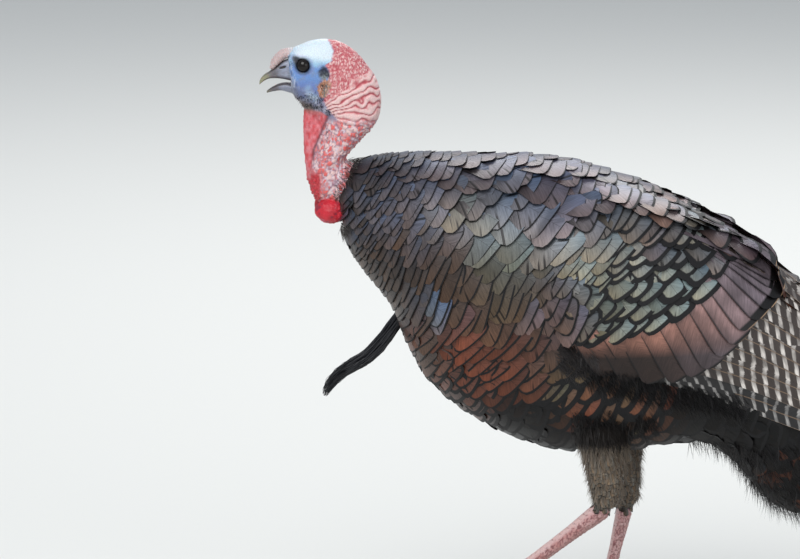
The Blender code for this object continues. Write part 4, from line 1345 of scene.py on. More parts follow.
def feather_material(name, tip_code):
    """A body feather: glossy metallic barbs ending in a velvety band, darker at its root, which is
    greyer and partly in painted shade under the feather that covers it.
    """
    _made, tree, shader = node_material(name)
    face = add(tree, "Attribute", attribute_name="Face").outputs["Color"]
    (band, chance, inner_end), vane, _size, side, off, run = vane_inputs(tree)
    streak = barb_noise(tree, off, run, chance, BARB_SCALES, 3.0)
    side = add(tree, "Math", side, 2.0, operation="MULTIPLY")
    mask = band_mask(tree, vane, side, streak, band, chance)
    # flank feathers are black at the root, so their colour shows as a curved bar
    bow = add(tree, "Math", side, 2.0, operation="POWER")
    bow = add(tree, "Math", bow, 0.1, operation="MULTIPLY")
    curved = add(tree, "Math", vane[1], bow, operation="SUBTRACT")
    inner_start = add(tree, "Math", inner_end, 0.03, operation="SUBTRACT")
    inner = add(tree, "MapRange", curved, inner_start, inner_end, 1.0, 0.0)
    speck = add(tree, "MapRange", streak, 0.3, 0.7, 0.72, 1.28)
    lit = add(tree, "MixRGB", 1.0, face, speck, blend_type="MULTIPLY")
    # painted shade: the splits between barbs are painted near black, as the shade in their gaps;
    # the shaft's fine line is its own colour
    worn = splits_and_shaft(tree, side, off, run, chance)
    lit = add(tree, "MixRGB", worn, lit, rgba("100E10"))
    # the sheen slides from one hue to another across the vane
    red = add(tree, "MapRange", vane[0], 0.1, 0.9, 0.8, 1.2)
    blue = add(tree, "Math", 2.0, red, operation="SUBTRACT")
    sheen = add(tree, "CombineColor", red, 1.0, blue)
    lit = add(tree, "MixRGB", 1.0, lit, sheen, blend_type="MULTIPLY")
    # darker towards the root: partly the feather's own greyer base, partly painted shade under the
    # feather that covers it
    root = add(tree, "MapRange", vane[1], 0.3, 0.72, 0.3, 1.0)
    lit = add(tree, "MixRGB", 1.0, lit, root, blend_type="MULTIPLY")
    dark = add(tree, "Math", mask, inner, operation="MAXIMUM")
    dress(tree, shader, {
        "Base Color": add(tree, "MixRGB", dark, lit, rgba(tip_code)),
        "Normal": add(tree, "Bump", ("Height", streak), ("Strength", 0.5), ("Distance", 0.0005)),
        "Metallic": add(tree, "MapRange", mask, 0.0, 1.0, 0.35, 0.1),
        "Roughness": add(tree, "MapRange", mask, 0.0, 1.0, 0.38, 0.6),
        "Specular IOR Level": 0.36,
    })


# Guide curves of the big feathers as seen from the side: x and z of roots and of tips
PANEL_ROOTS = (
    (-130, 455), (-95, 478), (-62, 492), (-32, 508), (-4, 520), (18, 530), (32, 538), (40, 542),
    (42, 542), (42, 541), (42, 540),
)
PANEL_TIPS = (
    (-60, 372), (-20, 358), (20, 354), (60, 358), (88, 370), (112, 392), (130, 415), (152, 432),
    (164, 450), (163, 464), (160, 476),
)
SECONDARY_ROOTS = (
    (54, 542), (67, 537), (79, 524), (90, 500), (95, 473), (86, 441), (61, 413), (30, 383),
)
SECONDARY_TIPS = (
    (206, 428), (240, 402), (268, 376), (290, 350), (303, 325), (306, 303), (300, 288), (290, 278),
)
PRIMARY_ROOTS = ((60, 372), (40, 362), (20, 354))
PRIMARY_TIPS = ((300, 288), (298, 274), (286, 258))
WRIST_ROOTS = ((-10, 378), (-30, 370), (-50, 366))
WRIST_TIPS = ((150, 318), (129, 316), (104, 314))
# The upper and lower edges of the wing's coverts: x, and the height at each
PANEL_TOP = (
    (-130, -82, -30, 15, 45, 62, 80, 120, 160, 206, 260, 330),
    (425, 436, 446, 458, 476, 502, 524, 506, 482, 436, 392, 340),
)
PANEL_LOW = ((-95, -60, 20, 100, 200, 300), (392, 362, 338, 322, 292, 262))
QUILL_BOW = 0.02  # how far a big feather bends, as a share of its length
QUILL_TILT = 0.05  # how far it turns about its shaft
QUILL_ROWS = (0, 0.15, 0.3, 0.45, 0.6, 0.74, 0.86)
QUILL_COLUMNS = np.linspace(-1, 1, 9)
WING_BAR = 15.5  # spacing of the bars across wing quills, and across tail feathers
TAIL_BAR = 8.5


def quill_lines(hull, way, roots, tips, count, bow, rise, steps=9):
    """Centre lines of long feathers between two guide curves, laid over one side of the bird."""
    shares = np.linspace(0, 1, steps)
    lines, ups = [], []
    for part in np.arange(count) / (count - 1):
        root = stations(roots, part * (len(roots) - 1))
        tip = stations(tips, part * (len(tips) - 1))
        sag = np.array((-(tip - root)[1], (tip - root)[0])) * bow
        flat = root + np.outer(shares, tip - root) + np.outer(4 * shares * (1 - shares), sag)
        starts = np.stack([flat[:, 0], np.full(steps, way * 300.0), flat[:, 1]], 1)
        hits = [hull.tree.ray_cast(Vector(start), Vector((0, -way, 0))) for start in starts]
        met = np.array([hit[0] is not None for hit in hits])
        wide = np.array([hit[0][1] if hit[0] is not None else 0.0 for hit in hits])
        spots = np.stack([flat[:, 0], wide, flat[:, 1]], 1)
        faces = np.array([hit[2] if hit[2] is not None else 0 for hit in hits])
        normals = hull.smooth_normals(spots, faces)
        fit = np.polyfit(shares[met], wide[met], 3 if met.sum() > 5 else 1)
        spots[:, 1] = np.polyval(fit, shares)
        if not met.all():
            spots[~met], normals[~met] = hull.nearest(spots[~met])
        up = unit(normals[met].mean(0) * 2 + normals * met[:, None])
        lines.append(spots + up * np.interp(shares, (0, 0.5, 1), rise)[:, None])
        ups.append(up)
    return np.array(lines), np.array(ups)


def quills(name, material, hull, guides, count, *, halves, rise, step_up, square, root, seed):
    """Long feathers of both wings in one piece. The first of them lies on top of the rest. Half
    widths run from the first feather to the last, and the rise from the root to the tip."""
    rng = np.random.default_rng(seed)
    groups = []
    for way in SIDES.values():
        line, up = quill_lines(hull, way, *guides, count, QUILL_BOW, rise)
        line = line + up * (np.linspace(1, 0, count) * step_up * (count - 1))[:, None, None]
        line[:, -1] += rng.normal(0, 0.8, (count, 3))
        side = np.cross(unit(line[:, -1] - line[:, 0]), up[:, 4])
        up = unit(up + side[:, None] * QUILL_TILT * way)
        which = np.full(count, 0.5 + 0.5 * way)
        groups.append((line, up, np.stack([np.linspace(0, 1, count), rng.random(count), which], 1)))
    line, ups, numbers = (np.concatenate(group) for group in zip(*groups))
    half = np.interp(numbers[:, 0], np.linspace(0, 1, len(halves)), halves)
    form = (vane_shape(square, root, QUILL_ROWS), 0.07, 0.6, QUILL_COLUMNS)
    paints = {"Pattern": numbers}
    obj = vane_piece(name, material, line, ups, half, measured(line), line[:, 0], form, paints)
    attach(obj, "root")
    return obj


def measured(line):
    """The length of each of many lines."""
    return np.linalg.norm(np.diff(line, axis=1), axis=2).sum(1)


def finish_feather(tree, shader, face, streak, rough, metal):
    """Joins paint and barbs to a feather's shader: dry barbs give a soft, broken gloss."""
    speck = add(tree, "MapRange", streak, 0.3, 0.7, 0.74, 1.26)
    dress(tree, shader, {
        "Base Color": add(tree, "MixRGB", 1.0, face, speck, blend_type="MULTIPLY"),
        "Normal": add(tree, "Bump", ("Height", streak), ("Strength", 0.5), ("Distance", 0.0005)),
        "Roughness": rough,
        "Metallic": metal,
    })


def quill_start(name):
    """A big feather's material: its tree and shader, the inputs, and the streaks of its barbs."""
    _made, tree, shader = node_material(name)
    number, vane, size, side, off, run = vane_inputs(tree)
    streak = barb_noise(tree, off, run, number[1], BARB_SCALES, 3.0)
    return tree, shader, number, vane, size, side, off, streak


def bars(tree, place, streak, spacing, shift, edges, strength):
    """Bars across a feather at a spacing in millimetres, which waver a little with its barbs."""
    wobble = add(tree, "Math", streak, 0.5, operation="SUBTRACT")
    wobble = add(tree, "Math", wobble, 0.05, operation="MULTIPLY")
    place = add(tree, "Math", place, wobble, operation="ADD")
    phase = add(tree, "Math", place, 100 / spacing, operation="MULTIPLY")
    phase = add(tree, "Math", phase, shift, operation="ADD")
    phase = add(tree, "Math", phase, operation="FRACT")
    near = add(tree, "Math", phase, 0.5, operation="SUBTRACT")
    near = add(tree, "Math", near, operation="ABSOLUTE")
    return add(tree, "MapRange", near, *edges, 0.0, strength)


def greater_covert_material():
    """Greater coverts: coppery pink above, dark brown below, with velvety tips edged in buff."""
    tree, shader, number, vane, _size, side, _off, streak = quill_start("greater covert")
    where = add(tree, "TexCoord").outputs["Object"]
    height = add(tree, "SeparateXYZ", where).outputs[2]
    pink = add(tree, "MapRange", vane[1], 0.35, 0.62)
    upper = add(tree, "MixRGB", pink, rgba("80757D"), rgba("AE7967"))
    lower = add(tree, "MapRange", height, 0.418, 0.384)
    face = add(tree, "MixRGB", lower, upper, rgba("2B1E1A"))
    rank = add(tree, "MapRange", number[0], 0.3, 0.75)
    face = add(tree, "MixRGB", rank, rgba("7A6E75"), face)
    # patches about 40 mm wide catch the light differently
    sheen = add(tree, "TexNoise", ("Vector", where), ("Scale", 24.0), ("Detail", 2.0))
    sheen = add(tree, "MapRange", sheen, 0.36, 0.64, 0.66, 1.25)
    face = add(tree, "MixRGB", 1.0, face, sheen, blend_type="MULTIPLY")
    # painted shade: each covert darkens towards its edges, where its neighbours overlap it
    darker = add(tree, "MapRange", side, 0.15, 0.47, 0.0, 0.4)
    face = add(tree, "MixRGB", darker, face, rgba("1E1617"))
    # painted shade: a near-black line along each edge, the shadow in the gap between neighbours
    rim = add(tree, "MapRange", side, 0.43, 0.485, 0.0, 0.9)
    face = add(tree, "MixRGB", rim, face, rgba("0A0809"))
    top_few = add(tree, "MapRange", number[0], 0.5, 0.3)
    shorter = add(tree, "Math", top_few, 0.07, operation="MULTIPLY")
    start = add(tree, "Math", 0.97, shorter, operation="SUBTRACT")
    end = add(tree, "Math", start, 0.015, operation="ADD")
    velvet = add(tree, "MapRange", vane[1], start, end)
    face = add(tree, "MixRGB", velvet, face, rgba("0D0B0C"))
    buff = add(tree, "MapRange", vane[1], 0.985, 0.993)
    buff = add(tree, "Math", buff, top_few, operation="MULTIPLY")
    face = add(tree, "MixRGB", buff, face, rgba("B9987A"))
    finish_feather(tree, shader, face, streak, 0.4, 0.3)


def wing_quill_material(name, dark, pale, amount):
    """Wing quills: dark brown with slanting white bars that line up from feather to feather."""
    tree, shader, number, _vane, size, side, off, streak = quill_start(name)
    way = add(tree, "MapRange", number[2], 0.0, 1.0, 0.5, -0.5)
    slant = add(tree, "Math", size[0], way, operation="MULTIPLY")
    slant = add(tree, "Math", size[1], slant, operation="SUBTRACT")
    bow = add(tree, "Math", off, 0.2, operation="MULTIPLY")
    slant = add(tree, "Math", slant, bow, operation="SUBTRACT")
    shift = add(tree, "Math", number[1], 0.3, operation="MULTIPLY")
    edges = (amount / 2 + 0.05, amount / 2 - 0.05)
    bar = bars(tree, slant, streak, WING_BAR, shift, edges, 1.0)
    plain = add(tree, "MapRange", number[0], 0.12, 0.42, 0.15, 1.0)
    bar = add(tree, "Math", bar, plain, operation="MULTIPLY")
    webs = add(tree, "MapRange", side, 0.05, 0.3, 0.5, 1.0)
    where = ("Vector", add(tree, "TexCoord").outputs["Object"])
    cloudy = add(tree, "TexNoise", where, ("Scale", 75.0), ("Detail", 1.0))
    cloudy = add(tree, "MapRange", cloudy, 0.38, 0.55, 0.45, 1.0)
    webs = add(tree, "Math", webs, cloudy, operation="MULTIPLY")
    bar = add(tree, "Math", bar, webs, operation="MULTIPLY")
    face = add(tree, "MixRGB", bar, rgba(dark), rgba(pale))
    edge = add(tree, "MapRange", side, 0.465, 0.485, 0.0, 0.8)
    face = add(tree, "MixRGB", edge, face, rgba("A08A76"))
    shaft = add(tree, "MapRange", side, 0.03, 0.012, 0.0, 0.8)
    face = add(tree, "MixRGB", shaft, face, rgba("7A6450"))
    finish_feather(tree, shader, face, streak, 0.5, 0.0)


def tail_material():
    """Tail: brown crossed by fine wavy black bars, then a black band and a chestnut tip."""
    _sizes, colours = props()
    tree, shader, _number, vane, size, _side, off, streak = quill_start("tail feather")
    bow = add(tree, "Math", off, 0.25, operation="MULTIPLY")
    place = add(tree, "Math", size[1], bow, operation="ADD")
    bar = bars(tree, place, streak, TAIL_BAR, 0.0, (0.3, 0.2), 0.9)
    face = add(tree, "MixRGB", bar, rgba("7A5A44"), rgba("17120F"))
    band = add(tree, "MapRange", vane[1], 0.8, 0.815)
    face = add(tree, "MixRGB", band, face, rgba("0D0B0B"))
    end = add(tree, "MapRange", vane[1], 0.935, 0.945)
    face = add(tree, "MixRGB", end, face, (*colours.chestnut, 1))
    finish_feather(tree, shader, face, streak, 0.5, 0.0)


def make_wings():
    """The folded wings: coverts over secondaries over primaries."""
    greater_covert_material()
    wing_quill_material("secondary", "352C28", "CFC8C1", 0.36)
    wing_quill_material("primary", "1A1819", "A09D9A", 0.27)
    quill_nodes = both("secondaries", "primaries", "primary_coverts")
    hull = body_hull([*BODY, *WINGS, *quill_nodes], 3 * MM, 12)
    made = quills(
        "greater_coverts", "greater covert", hull, (PANEL_ROOTS[::-1], PANEL_TIPS[::-1]), 16,
        halves=(24, 21, 18, 16), rise=(-4.5, 0.2, 2.4), step_up=0.06, square=2.6, root=0.8, seed=3,
    )
    made = quills(
        "secondary_quills", "secondary", hull, (SECONDARY_ROOTS, SECONDARY_TIPS), 16,
        halves=(16, 13, 12), rise=(-6, -0.6, 0.6), step_up=0.12, square=2.2, root=0.9, seed=4,
    )
    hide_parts("secondaries_left", "secondaries_right")
    made = quills(
        "primary_quills", "primary", hull, (PRIMARY_ROOTS, PRIMARY_TIPS), 6,
        halves=(13, 12), rise=(-7, -2.5, -1.5), step_up=0.1, square=2.0, root=0.9, seed=5,
    )
    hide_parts("primaries_left", "primaries_right")
    made = quills(
        "wrist_coverts", "primary", hull, (WRIST_ROOTS, WRIST_TIPS), 5,
        halves=(9, 8), rise=(-15, -12, -6), step_up=0.15, square=2.0, root=0.9, seed=6,
    )
    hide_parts("primary_coverts_left", "primary_coverts_right")


# The tail's upper face: x of its root and tip, its height at the root and its slope
TAIL_ROOT = 185.0
TAIL_TIP = 447.0
TAIL_TOP = 439.0
TAIL_FALL = 0.70
TAIL_COUNT = 18
TAIL_HALF = 19.0  # half width of a tail feather
TAIL_ROWS = (0, 0.15, 0.3, 0.45, 0.6, 0.75, 0.88)
BEARD_COUNT = 300
BEARD_STEPS = 10


def tail_camber(x):
    """How far the tail falls away 60 mm from its middle."""
    return np.interp(x, (TAIL_ROOT, TAIL_TIP), (58, 30))


def tail_height(x, y):
    """The height of the tail's upper face."""
    return TAIL_TOP - TAIL_FALL * (x - TAIL_ROOT) - tail_camber(x) * (y / 60) ** 2


def make_tail():
    """The closed fan of eighteen tail feathers."""
    tail_material()
    shares = np.linspace(0, 1, 9)
    lines, ups, numbers = [], [], []
    middle = (TAIL_COUNT - 1) / 2
    for index in range(TAIL_COUNT):
        rank = index - middle
        part = rank / middle
        tip = TAIL_TIP - 1 - 22 * part**2
        x = TAIL_ROOT - 5 + (tip - TAIL_ROOT + 5) * shares
        y = part * (20 + 40 * shares**1.2)
        under = 0.75 * abs(rank) * shares
        z = tail_height(x, y) + 1.0 - under - (1 - shares) * (2 + 0.3 * abs(rank))
        lines.append(np.stack([x, y, z], 1))
        slope = 2 * tail_camber(x) * y / 3600
        ups.append(unit(np.stack([np.full(9, TAIL_FALL), slope, np.ones(9)], 1)))
        numbers.append((abs(part), (index * 0.381) % 1, 0.5 + 0.5 * np.sign(part)))
    line = np.array(lines)
    form = (vane_shape(2.4, 0.6, TAIL_ROWS), 0.06, 0.7, QUILL_COLUMNS)
    obj = vane_piece(
        "tail_feathers", "tail feather", line, np.array(ups), np.full(TAIL_COUNT, TAIL_HALF),
        measured(line), line[:, 0], form, {"Pattern": np.array(numbers)},
    )
    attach(obj, "root")
    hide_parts("tail")


def spikes(name, material, points, pattern, places, code, rough):
    """Many thin closed spikes in one piece. The pattern holds the faces of one spike, and the
    places say where each spike's root lies on the flat map."""
    each = len(points) // len(places)
    spread = product(range(len(places)), pattern)
    faces = [[each * index + spot for spot in face] for index, face in spread]
    obj = new_mesh(name, points, faces)
    made, tree, shader = node_material(material)
    dress(tree, shader, {"Base Color": rgba(code), "Roughness": rough})
    obj.data.materials.append(made)
    loops = read(obj.data.loops, "vertex_index", 1, np.int32)
    patch = np.stack([loops % 3 / 3, loops % each / each], 1) * PATCH
    add_map(obj, "OFBake", places[loops // each] + patch)
    return obj


def beard_bristle(path, index, turn, radius, reach):
    """The points of one bristle of the beard, in rings of three down its length."""
    shares = np.linspace(0, 1, BEARD_STEPS)
    at = shares * reach
    known = np.linspace(0, 1, len(path))
    middle = np.stack([np.interp(at, known, column) for column in path.T], 1)
    middle[:, :2] += np.outer(np.maximum(at - 1, 0), (path[-1] - path[-2])[:2] * 15)
    ahead = unit(np.gradient(middle[:, :2], axis=0))
    size = middle[:, 2] * radius * (1 + 0.25 * shares) * 0.95
    rise = size * np.cos(turn) + 0.8 * np.sin(at * 19 + index)
    beside = size * np.sin(turn) * 1.1 + 0.5 * np.cos(at * 23 + index)
    x, z = middle[:, 0] - ahead[:, 1] * rise, middle[:, 1] + ahead[:, 0] * rise
    spot = np.stack([x, beside, z], 1)
    angle = math.tau * np.arange(3) / 3 + index
    up, out = np.cos(angle), np.tile(np.sin(angle), (BEARD_STEPS, 1))
    across = np.stack([np.outer(-ahead[:, 1], up), out, np.outer(ahead[:, 0], up)], 2)
    thick = np.interp(shares, (0, 0.6, 1), (0.75, 0.62, 0.2))
    return (spot[:, None] + across * thick[:, None, None]).reshape(-1, 3)


def make_beard():
    """The beard: a brush of coarse hair-like bristles, black with a blue gloss."""
    rng = np.random.default_rng(12)
    path = finer(BEARD, 16)
    number = np.arange(BEARD_COUNT)
    turn = rng.uniform(0, math.tau, BEARD_COUNT)
    radius = np.sqrt(rng.random(BEARD_COUNT))
    chosen = zip(number, turn, radius, rng.uniform(0.72, 1.04, BEARD_COUNT))
    points = np.concatenate([beard_bristle(path, *values) for values in chosen])
    last = (BEARD_STEPS - 1) * 3
    pattern = [(2, 1, 0), (last, last + 1, last + 2)]
    for row, corner in product(range(BEARD_STEPS - 1), range(3)):
        here, onward = row * 3 + corner, row * 3 + (corner + 1) % 3
        pattern.append((here, onward, onward + 3, here + 3))
    places = unwrapped(np.tile((BEARD[0][0], 0.0, BEARD[0][1]), (BEARD_COUNT, 1)))
    places = places + np.stack([number % 20 / 20 - 0.5, number // 20 / 15 - 0.5], 1) * 0.02
    obj = spikes("beard_bristles", "beard bristle", points, pattern, places, "15161B", 0.42)
    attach(obj, "root")
    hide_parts("beard")


UNDER_TRACTS = {
    "vent end": (120, 240, 45, 16, 15, "soot", "charcoal", 1.5),
    "hanging": (170, 210, 62, 15, 9, "soot", "soot", 8),
    "under tail": (260, 240, 45, 18, 12, "soot", "charcoal", 8),
}
THIGH_TRACTS = {
    "drumstick": (-20, 290, 80, 7, 5.5, "tibia", "tibia_pale", 1.2),
    "drumstick low": (-25, 215, 80, 5, 4.5, "tibia", "tibia_pale", 1.2),
}


def make_thighs():
    """Soft narrow feathers down the drumsticks."""
    for side in SIDES:
        hull = body_hull([f"thigh_{side}", f"shank_{side}"], 2.5 * MM, 6)
        low = HOCK[side][2] + 14
        keep = lambda middles, normals: (middles[:, 2] < 272) & (middles[:, 2] > low)
        contour_feathers(
            [f"thigh_feathers_{side}"], hull, THIGH_TRACTS, keep,
            seed=21, crowd=0.9, lift=2.2, ragged=0.3,
        )


def make_eyes():
    """Dark wet eyes."""
    # a wet cornea over a dark iris looks nearly black, with small sharp glints
    made, tree, shader = node_material("wet eye")
    dress(tree, shader, {"Base Color": rgba("120D0B"), "Roughness": 0.06, "IOR": 1.38})
    for side, way in SIDES.items():
        centre = (EYE[0], EYE[1] * way, EYE[2])
        eye = ball(f"eyeball_{side}", centre, (EYE_RADIUS,) * 3, 48, 32)
        shade_smooth(eye)
        eye.data.materials.append(made)
        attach(eye, "root")
        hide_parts(f"eye_{side}")


def bill_material():
    """Horn with a satin gloss and fine grain drawn out along the bill."""
    made, tree, shader = node_material("bill horn")
    tint = add(tree, "Attribute", attribute_name="Paint")
    where = ("Vector", add(tree, "TexCoord").outputs["Object"])
    stretch = add(tree, "Mapping", where, ("Scale", (300.0, 900.0, 900.0)))  # 3.3 by 1.1 mm
    grain = add(tree, "TexNoise", ("Vector", stretch), ("Scale", 1.0), ("Detail", 3.0))
    speck = add(tree, "MapRange", grain, 0.3, 0.7, 0.8, 1.15)
    dress(tree, shader, {
        "Base Color": add(tree, "MixRGB", 1.0, tint.outputs["Color"], speck, blend_type="MULTIPLY"),
        "Normal": add(tree, "Bump", ("Height", grain), ("Strength", 0.3), ("Distance", 0.0004)),
        "Roughness": 0.38,
        "Subsurface Weight": 0.05,
    })
    return made


def upper_bill(points, normals, noise, tone, lift):
    """The nostril's slit, painted dark as the shade inside it, darker horn on top, and a painted
    shadow under the snood.
    """
    x, y, z = points.T
    slit = np.hypot((x + 417) / 4.2, (z - 707.5 - 0.25 * (x + 417)) / 1.5) + 0.1 * noise
    nostril = step(1.25, 0.7, slit) * step(4, 6, np.abs(y))
    lift = lift - 1.6 * nostril + 0.5 * hump(slit, 1.5, 0.3)
    # painted shade inside the nostril's slit
    tone = mix(tone, linear("1C1716"), nostril)
    tone = mix(tone, linear("4D4644"), 0.6 * step(0.2, 0.8, normals[:, 2]) * step(-412, -425, x))
    shadow = step(1.85, 1.3, snood_distance(points) + 0.1 * noise)
    return mix(tone, linear("251B1A"), 0.9 * shadow), lift


def make_bill():
    """The open bill: horn that is grey at its base and yellowish at its hooked tip."""
    made = bill_material()
    for name, table, inward in (("upper", BILL_UPPER, -1), ("lower", BILL_LOWER, 1)):
        places = np.linspace(0, len(table) - 1, BILL_STEPS)
        rings = [section_ring(table, place, BILL_STEPS, 0.85) for place in places]
        form = remesh(loft(f"bill_horn_{name}", rings), BILL_GRAIN, 4)
        points, normals = surface(form.data)
        x = points[:, 0]
        noise, ridge = cloud(points, 5, 51), cloud(points * (0.5, 1, 1), 1.6, 52)
        tone = mix(linear("66646A"), linear("8E8F72"), step(-428, -440, x + 2 * noise))
        base = step(-427, -415, x + 3 * noise) * (0.8 + 0.2 * ridge)
        tone, lift = mix(tone, linear("979DB0"), base), 0.1 * ridge
        if name == "upper":
            tone, lift = upper_bill(points, normals, noise, tone, lift)
        else:
            # painted shade: the lower half is darker throughout, as it lies under the upper half
            tone = tone * 0.78
        # painted shade: faces turned into the open bill, towards the other half, are darkened
        rim = step(0.3, 0.75, inward * normals[:, 2])
        reshape(form.data, points + normals * lift[:, None])
        paint(form, "Paint", mix(tone, linear("3A2C2A"), 0.75 * rim))
        form.data.materials.append(made)
        shade_smooth(form)
        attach(form, "root")
        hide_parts(f"bill_{name}")


def bristles(name, roots, ways, sizes, code):
    """Short stiff hairs, dull with a faint gloss, as thin closed spikes in one mesh."""
    long, thick = (column[:, None, None] for column in np.array(sizes).T)
    side = unit(np.cross(ways, (0.3, 0.2, 0.9)))
    turn = (math.tau * np.arange(3) / 3)[:, None]
    ring = side[:, None] * np.cos(turn) + np.cross(ways, side)[:, None] * np.sin(turn)
    base, ahead = roots[:, None], ways[:, None] * long
    tip = base + ahead + long * (0, 0, -0.12)
    rows = [base + ring * thick, base + ahead * 0.5 + ring * thick * 0.75, tip]
    pattern = [(2, 1, 0)]
    for corner, onward in ((0, 1), (1, 2), (2, 0)):
        pattern += [(corner, onward, 3 + onward, 3 + corner), (3 + corner, 3 + onward, 6)]
    points = np.concatenate(rows, 1).reshape(-1, 3)
    obj = spikes(name, name.replace("_", " "), points, pattern, unwrapped(roots), code, 0.5)
    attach(obj, "root")


# x and z of each patch of bristles on the head, its spread along and up, how many there are,
# their length, and how far they point backwards and up
BRISTLE_PATCHES = (
    (-388, 664, 9, 4, 70, 3.6, -0.2, -1),
    (-376, 663, 7, 4, 60, 4.2, 0.3, -1),
    (-364, 657, 5, 5, 40, 4.6, 0.6, -0.9),
    (-369, 703, 4.5, 5, 60, 3.2, 1, -0.4),
    (-371, 688, 4, 6, 45, 3.4, 0.8, -0.8),
    (-398, 672, 8, 4, 50, 2.6, -0.3, -1),
    (-386, 673, 12, 6, 90, 2.8, 0.3, -1),
    (-373, 672, 6, 8, 60, 3.2, 0.5, -1),
    (-360, 630, 9, 12, 26, 4, 0.4, -1),
    (-405, 713, 5, 4, 24, 2.2, -0.6, 0.4),
)


def make_head_bristles():
    """Sparse black bristles on the throat, jaw, ear, neck and forehead."""
    hull = Hull(bpy.data.objects["skin"])
    rng = np.random.default_rng(31)
    roots, ways, sizes = [], [], []
    for patch, way in product(BRISTLE_PATCHES, SIDES.values()):
        x, z, wide, high, count, size, along, up = patch
        for _ in range(count):
            start = Vector((rng.normal(x, wide / 2), way * 60, rng.normal(z, high / 2)))
            hit = hull.tree.ray_cast(start, Vector((0, -way, 0)))
            if hit[0] is None:
                continue
            normal = np.array(hit[1])
            lie = np.array((along, 0, up)) + rng.normal(0, 0.3, 3) + normal * 0.75
            roots.append(np.array(hit[0]) - normal * 0.3)
            ways.append(unit(lie))
            sizes.append((size * rng.uniform(0.6, 1.2), 0.22))
    bristles("head_bristles", np.array(roots), np.array(ways), sizes, "1A1B22")


# Where the body feathers begin round the base of the neck: heights, and x at each of them
COLLAR = (
    (505, 523, 531, 545, 555, 575, 597, 605),
    (-360, -346, -335, -340, -356, -352, -338, -320),
)


def on_coat(middles):
    """Which faces of the body carry body feathers."""
    x, y, z = middles.T
    top, low = np.interp(x, *PANEL_TOP), np.interp(x, *PANEL_LOW)
    covered = (np.abs(y) > 30) & (x > -108) & (z < top) & (z > low)
    return (x > np.interp(z, *COLLAR)) & ~covered


def under_tail(middles):
    """Where the long feathers hang below the tail."""
    x, _y, z = middles.T
    return (x > 95) & (z < np.interp(x, (95, 180, 330, 440), (262, 285, 300, 250)))


def make_plumage():
    """All the body feathers, in pieces."""
    feather_material("contour feather", "0B0A0C")
    feather_material("under tail covert", "4A2A1C")
    coverts = ("tail_coverts_under", "tail_coverts_upper")
    hull = body_hull([*BODY, *coverts, *WINGS, "neck_lower"], COAT_GRAIN)
    names = ["neck_feathers", "breast_feathers", "mantle_feathers"]
    names += ["back_feathers", "rump_feathers", "tail_coverts"]
    keep = lambda middles, normals: on_coat(middles) & ~under_tail(middles)
    made = contour_feathers(names, hull, BODY_TRACTS, keep, seed=5, crowd=0.74)
    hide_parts("tail_coverts_upper")
    keep = lambda middles, normals: under_tail(middles)
    contour_feathers(
        ["under_tail_coverts"], hull, UNDER_TRACTS, keep,
        seed=8, lift=3.0, ragged=0.35, material="under tail covert", tipped=0.14,
    )


def fluff(name, hull, shown, count, lie, size, code, seed):
    """Loose hair-like down over the part of a surface that is shown, by x, y and z."""
    rng = np.random.default_rng(seed)
    corners, middles, cross = hull.triangles()
    weight = np.where(shown(*middles.T), np.linalg.norm(cross, axis=1), 0)
    picks = rng.choice(len(weight), count, p=weight / weight.sum())
    part = rng.dirichlet((1, 1, 1), count)
    spots = (corners[picks] * part[..., None]).sum(1)
    normals = unit(cross[picks])
    ways = np.array(lie) + normals * rng.uniform(0.1, 0.55, (count, 1))
    ways = unit(ways + rng.normal(0, 0.28, (count, 3)))
    sizes = [(size * rng.uniform(0.5, 1.25), rng.uniform(0.2, 0.34)) for _ in range(count)]
    bristles(name, spots + normals * 0.5, ways, sizes, code)


def at_bend(x, y, z):
    """Round the wing's bend."""
    return (np.abs(y) > 45) & (np.hypot((x + 78) / 24, (z - 382) / 20) < 1)


def at_wing_edge(x, y, z):
    """Along the lower edge of the wing's coverts."""
    near = np.abs(z - np.interp(x, *PANEL_LOW)) < 15
    return (np.abs(y) > 40) & (x > -70) & (x < 120) & near


def over_thigh(x, y, z):
    """Over the top of each thigh."""
    height = 298 + 12 * cloud(np.stack([x, y, z], 1), 13, 33)
    return (np.abs(y) > 22) & (np.abs(x + 32) < 50) & (np.abs(z - height) < 12)


def at_vent(x, y, z):
    """Behind the belly."""
    return (x > 60) & (x < 260) & (z < 270)


def make_fluff():
    """Down where the wing bends, over the drumsticks and behind the belly."""
    hull = body_hull([*BODY, *WINGS, "tail_coverts_under"], COAT_GRAIN)
    fluff("wing_down", hull, at_bend, 1800, (0.8, 0, -0.6), 17, "3B3838", 41)
    fluff("flank_down", hull, at_wing_edge, 3200, (0.6, 0, -0.8), 20, "161415", 46)
    fluff("belly_down", hull, over_thigh, 1700, (0.45, 0, -0.9), 21, "1A1716", 47)
    neck = body_hull(["breast", "neck_lower"], 3 * MM, 8)
    ruff = lambda x, y, z: np.abs(x - np.interp(z, *COLLAR) - 3) < 7
    fluff("collar_down", neck, ruff, 520, (0.8, 0, -0.6), 15, "3E3733", 44)
    fluff("vent_down", hull, at_vent, 3000, (0.5, 0, -0.85), 22, "161314", 42)
    for side in SIDES:
        hull = body_hull([f"thigh_{side}"], 3 * MM, 6)
        shown = lambda x, y, z: (z < 274) & (z > HOCK[side][2] + 8)
        fluff(f"thigh_down_{side}", hull, shown, 2400, (0.12, 0, -1), 11, "7A6E61", 43)
        above = lambda x, y, z: (z < 303) & (z > 277)
        fluff(f"hip_down_{side}", hull, above, 2200, (0.3, 0, -0.95), 14, "241F1C", 45)


class TURKEY_OT_plumage(bpy.types.Operator):
    """Lays the body feathers over the skin"""

    bl_idname = "turkey.plumage"
    bl_label = "Plumage"

    def execute(self, context):
        make_plumage()
        make_thighs()
        make_fluff()
        return {"FINISHED"}


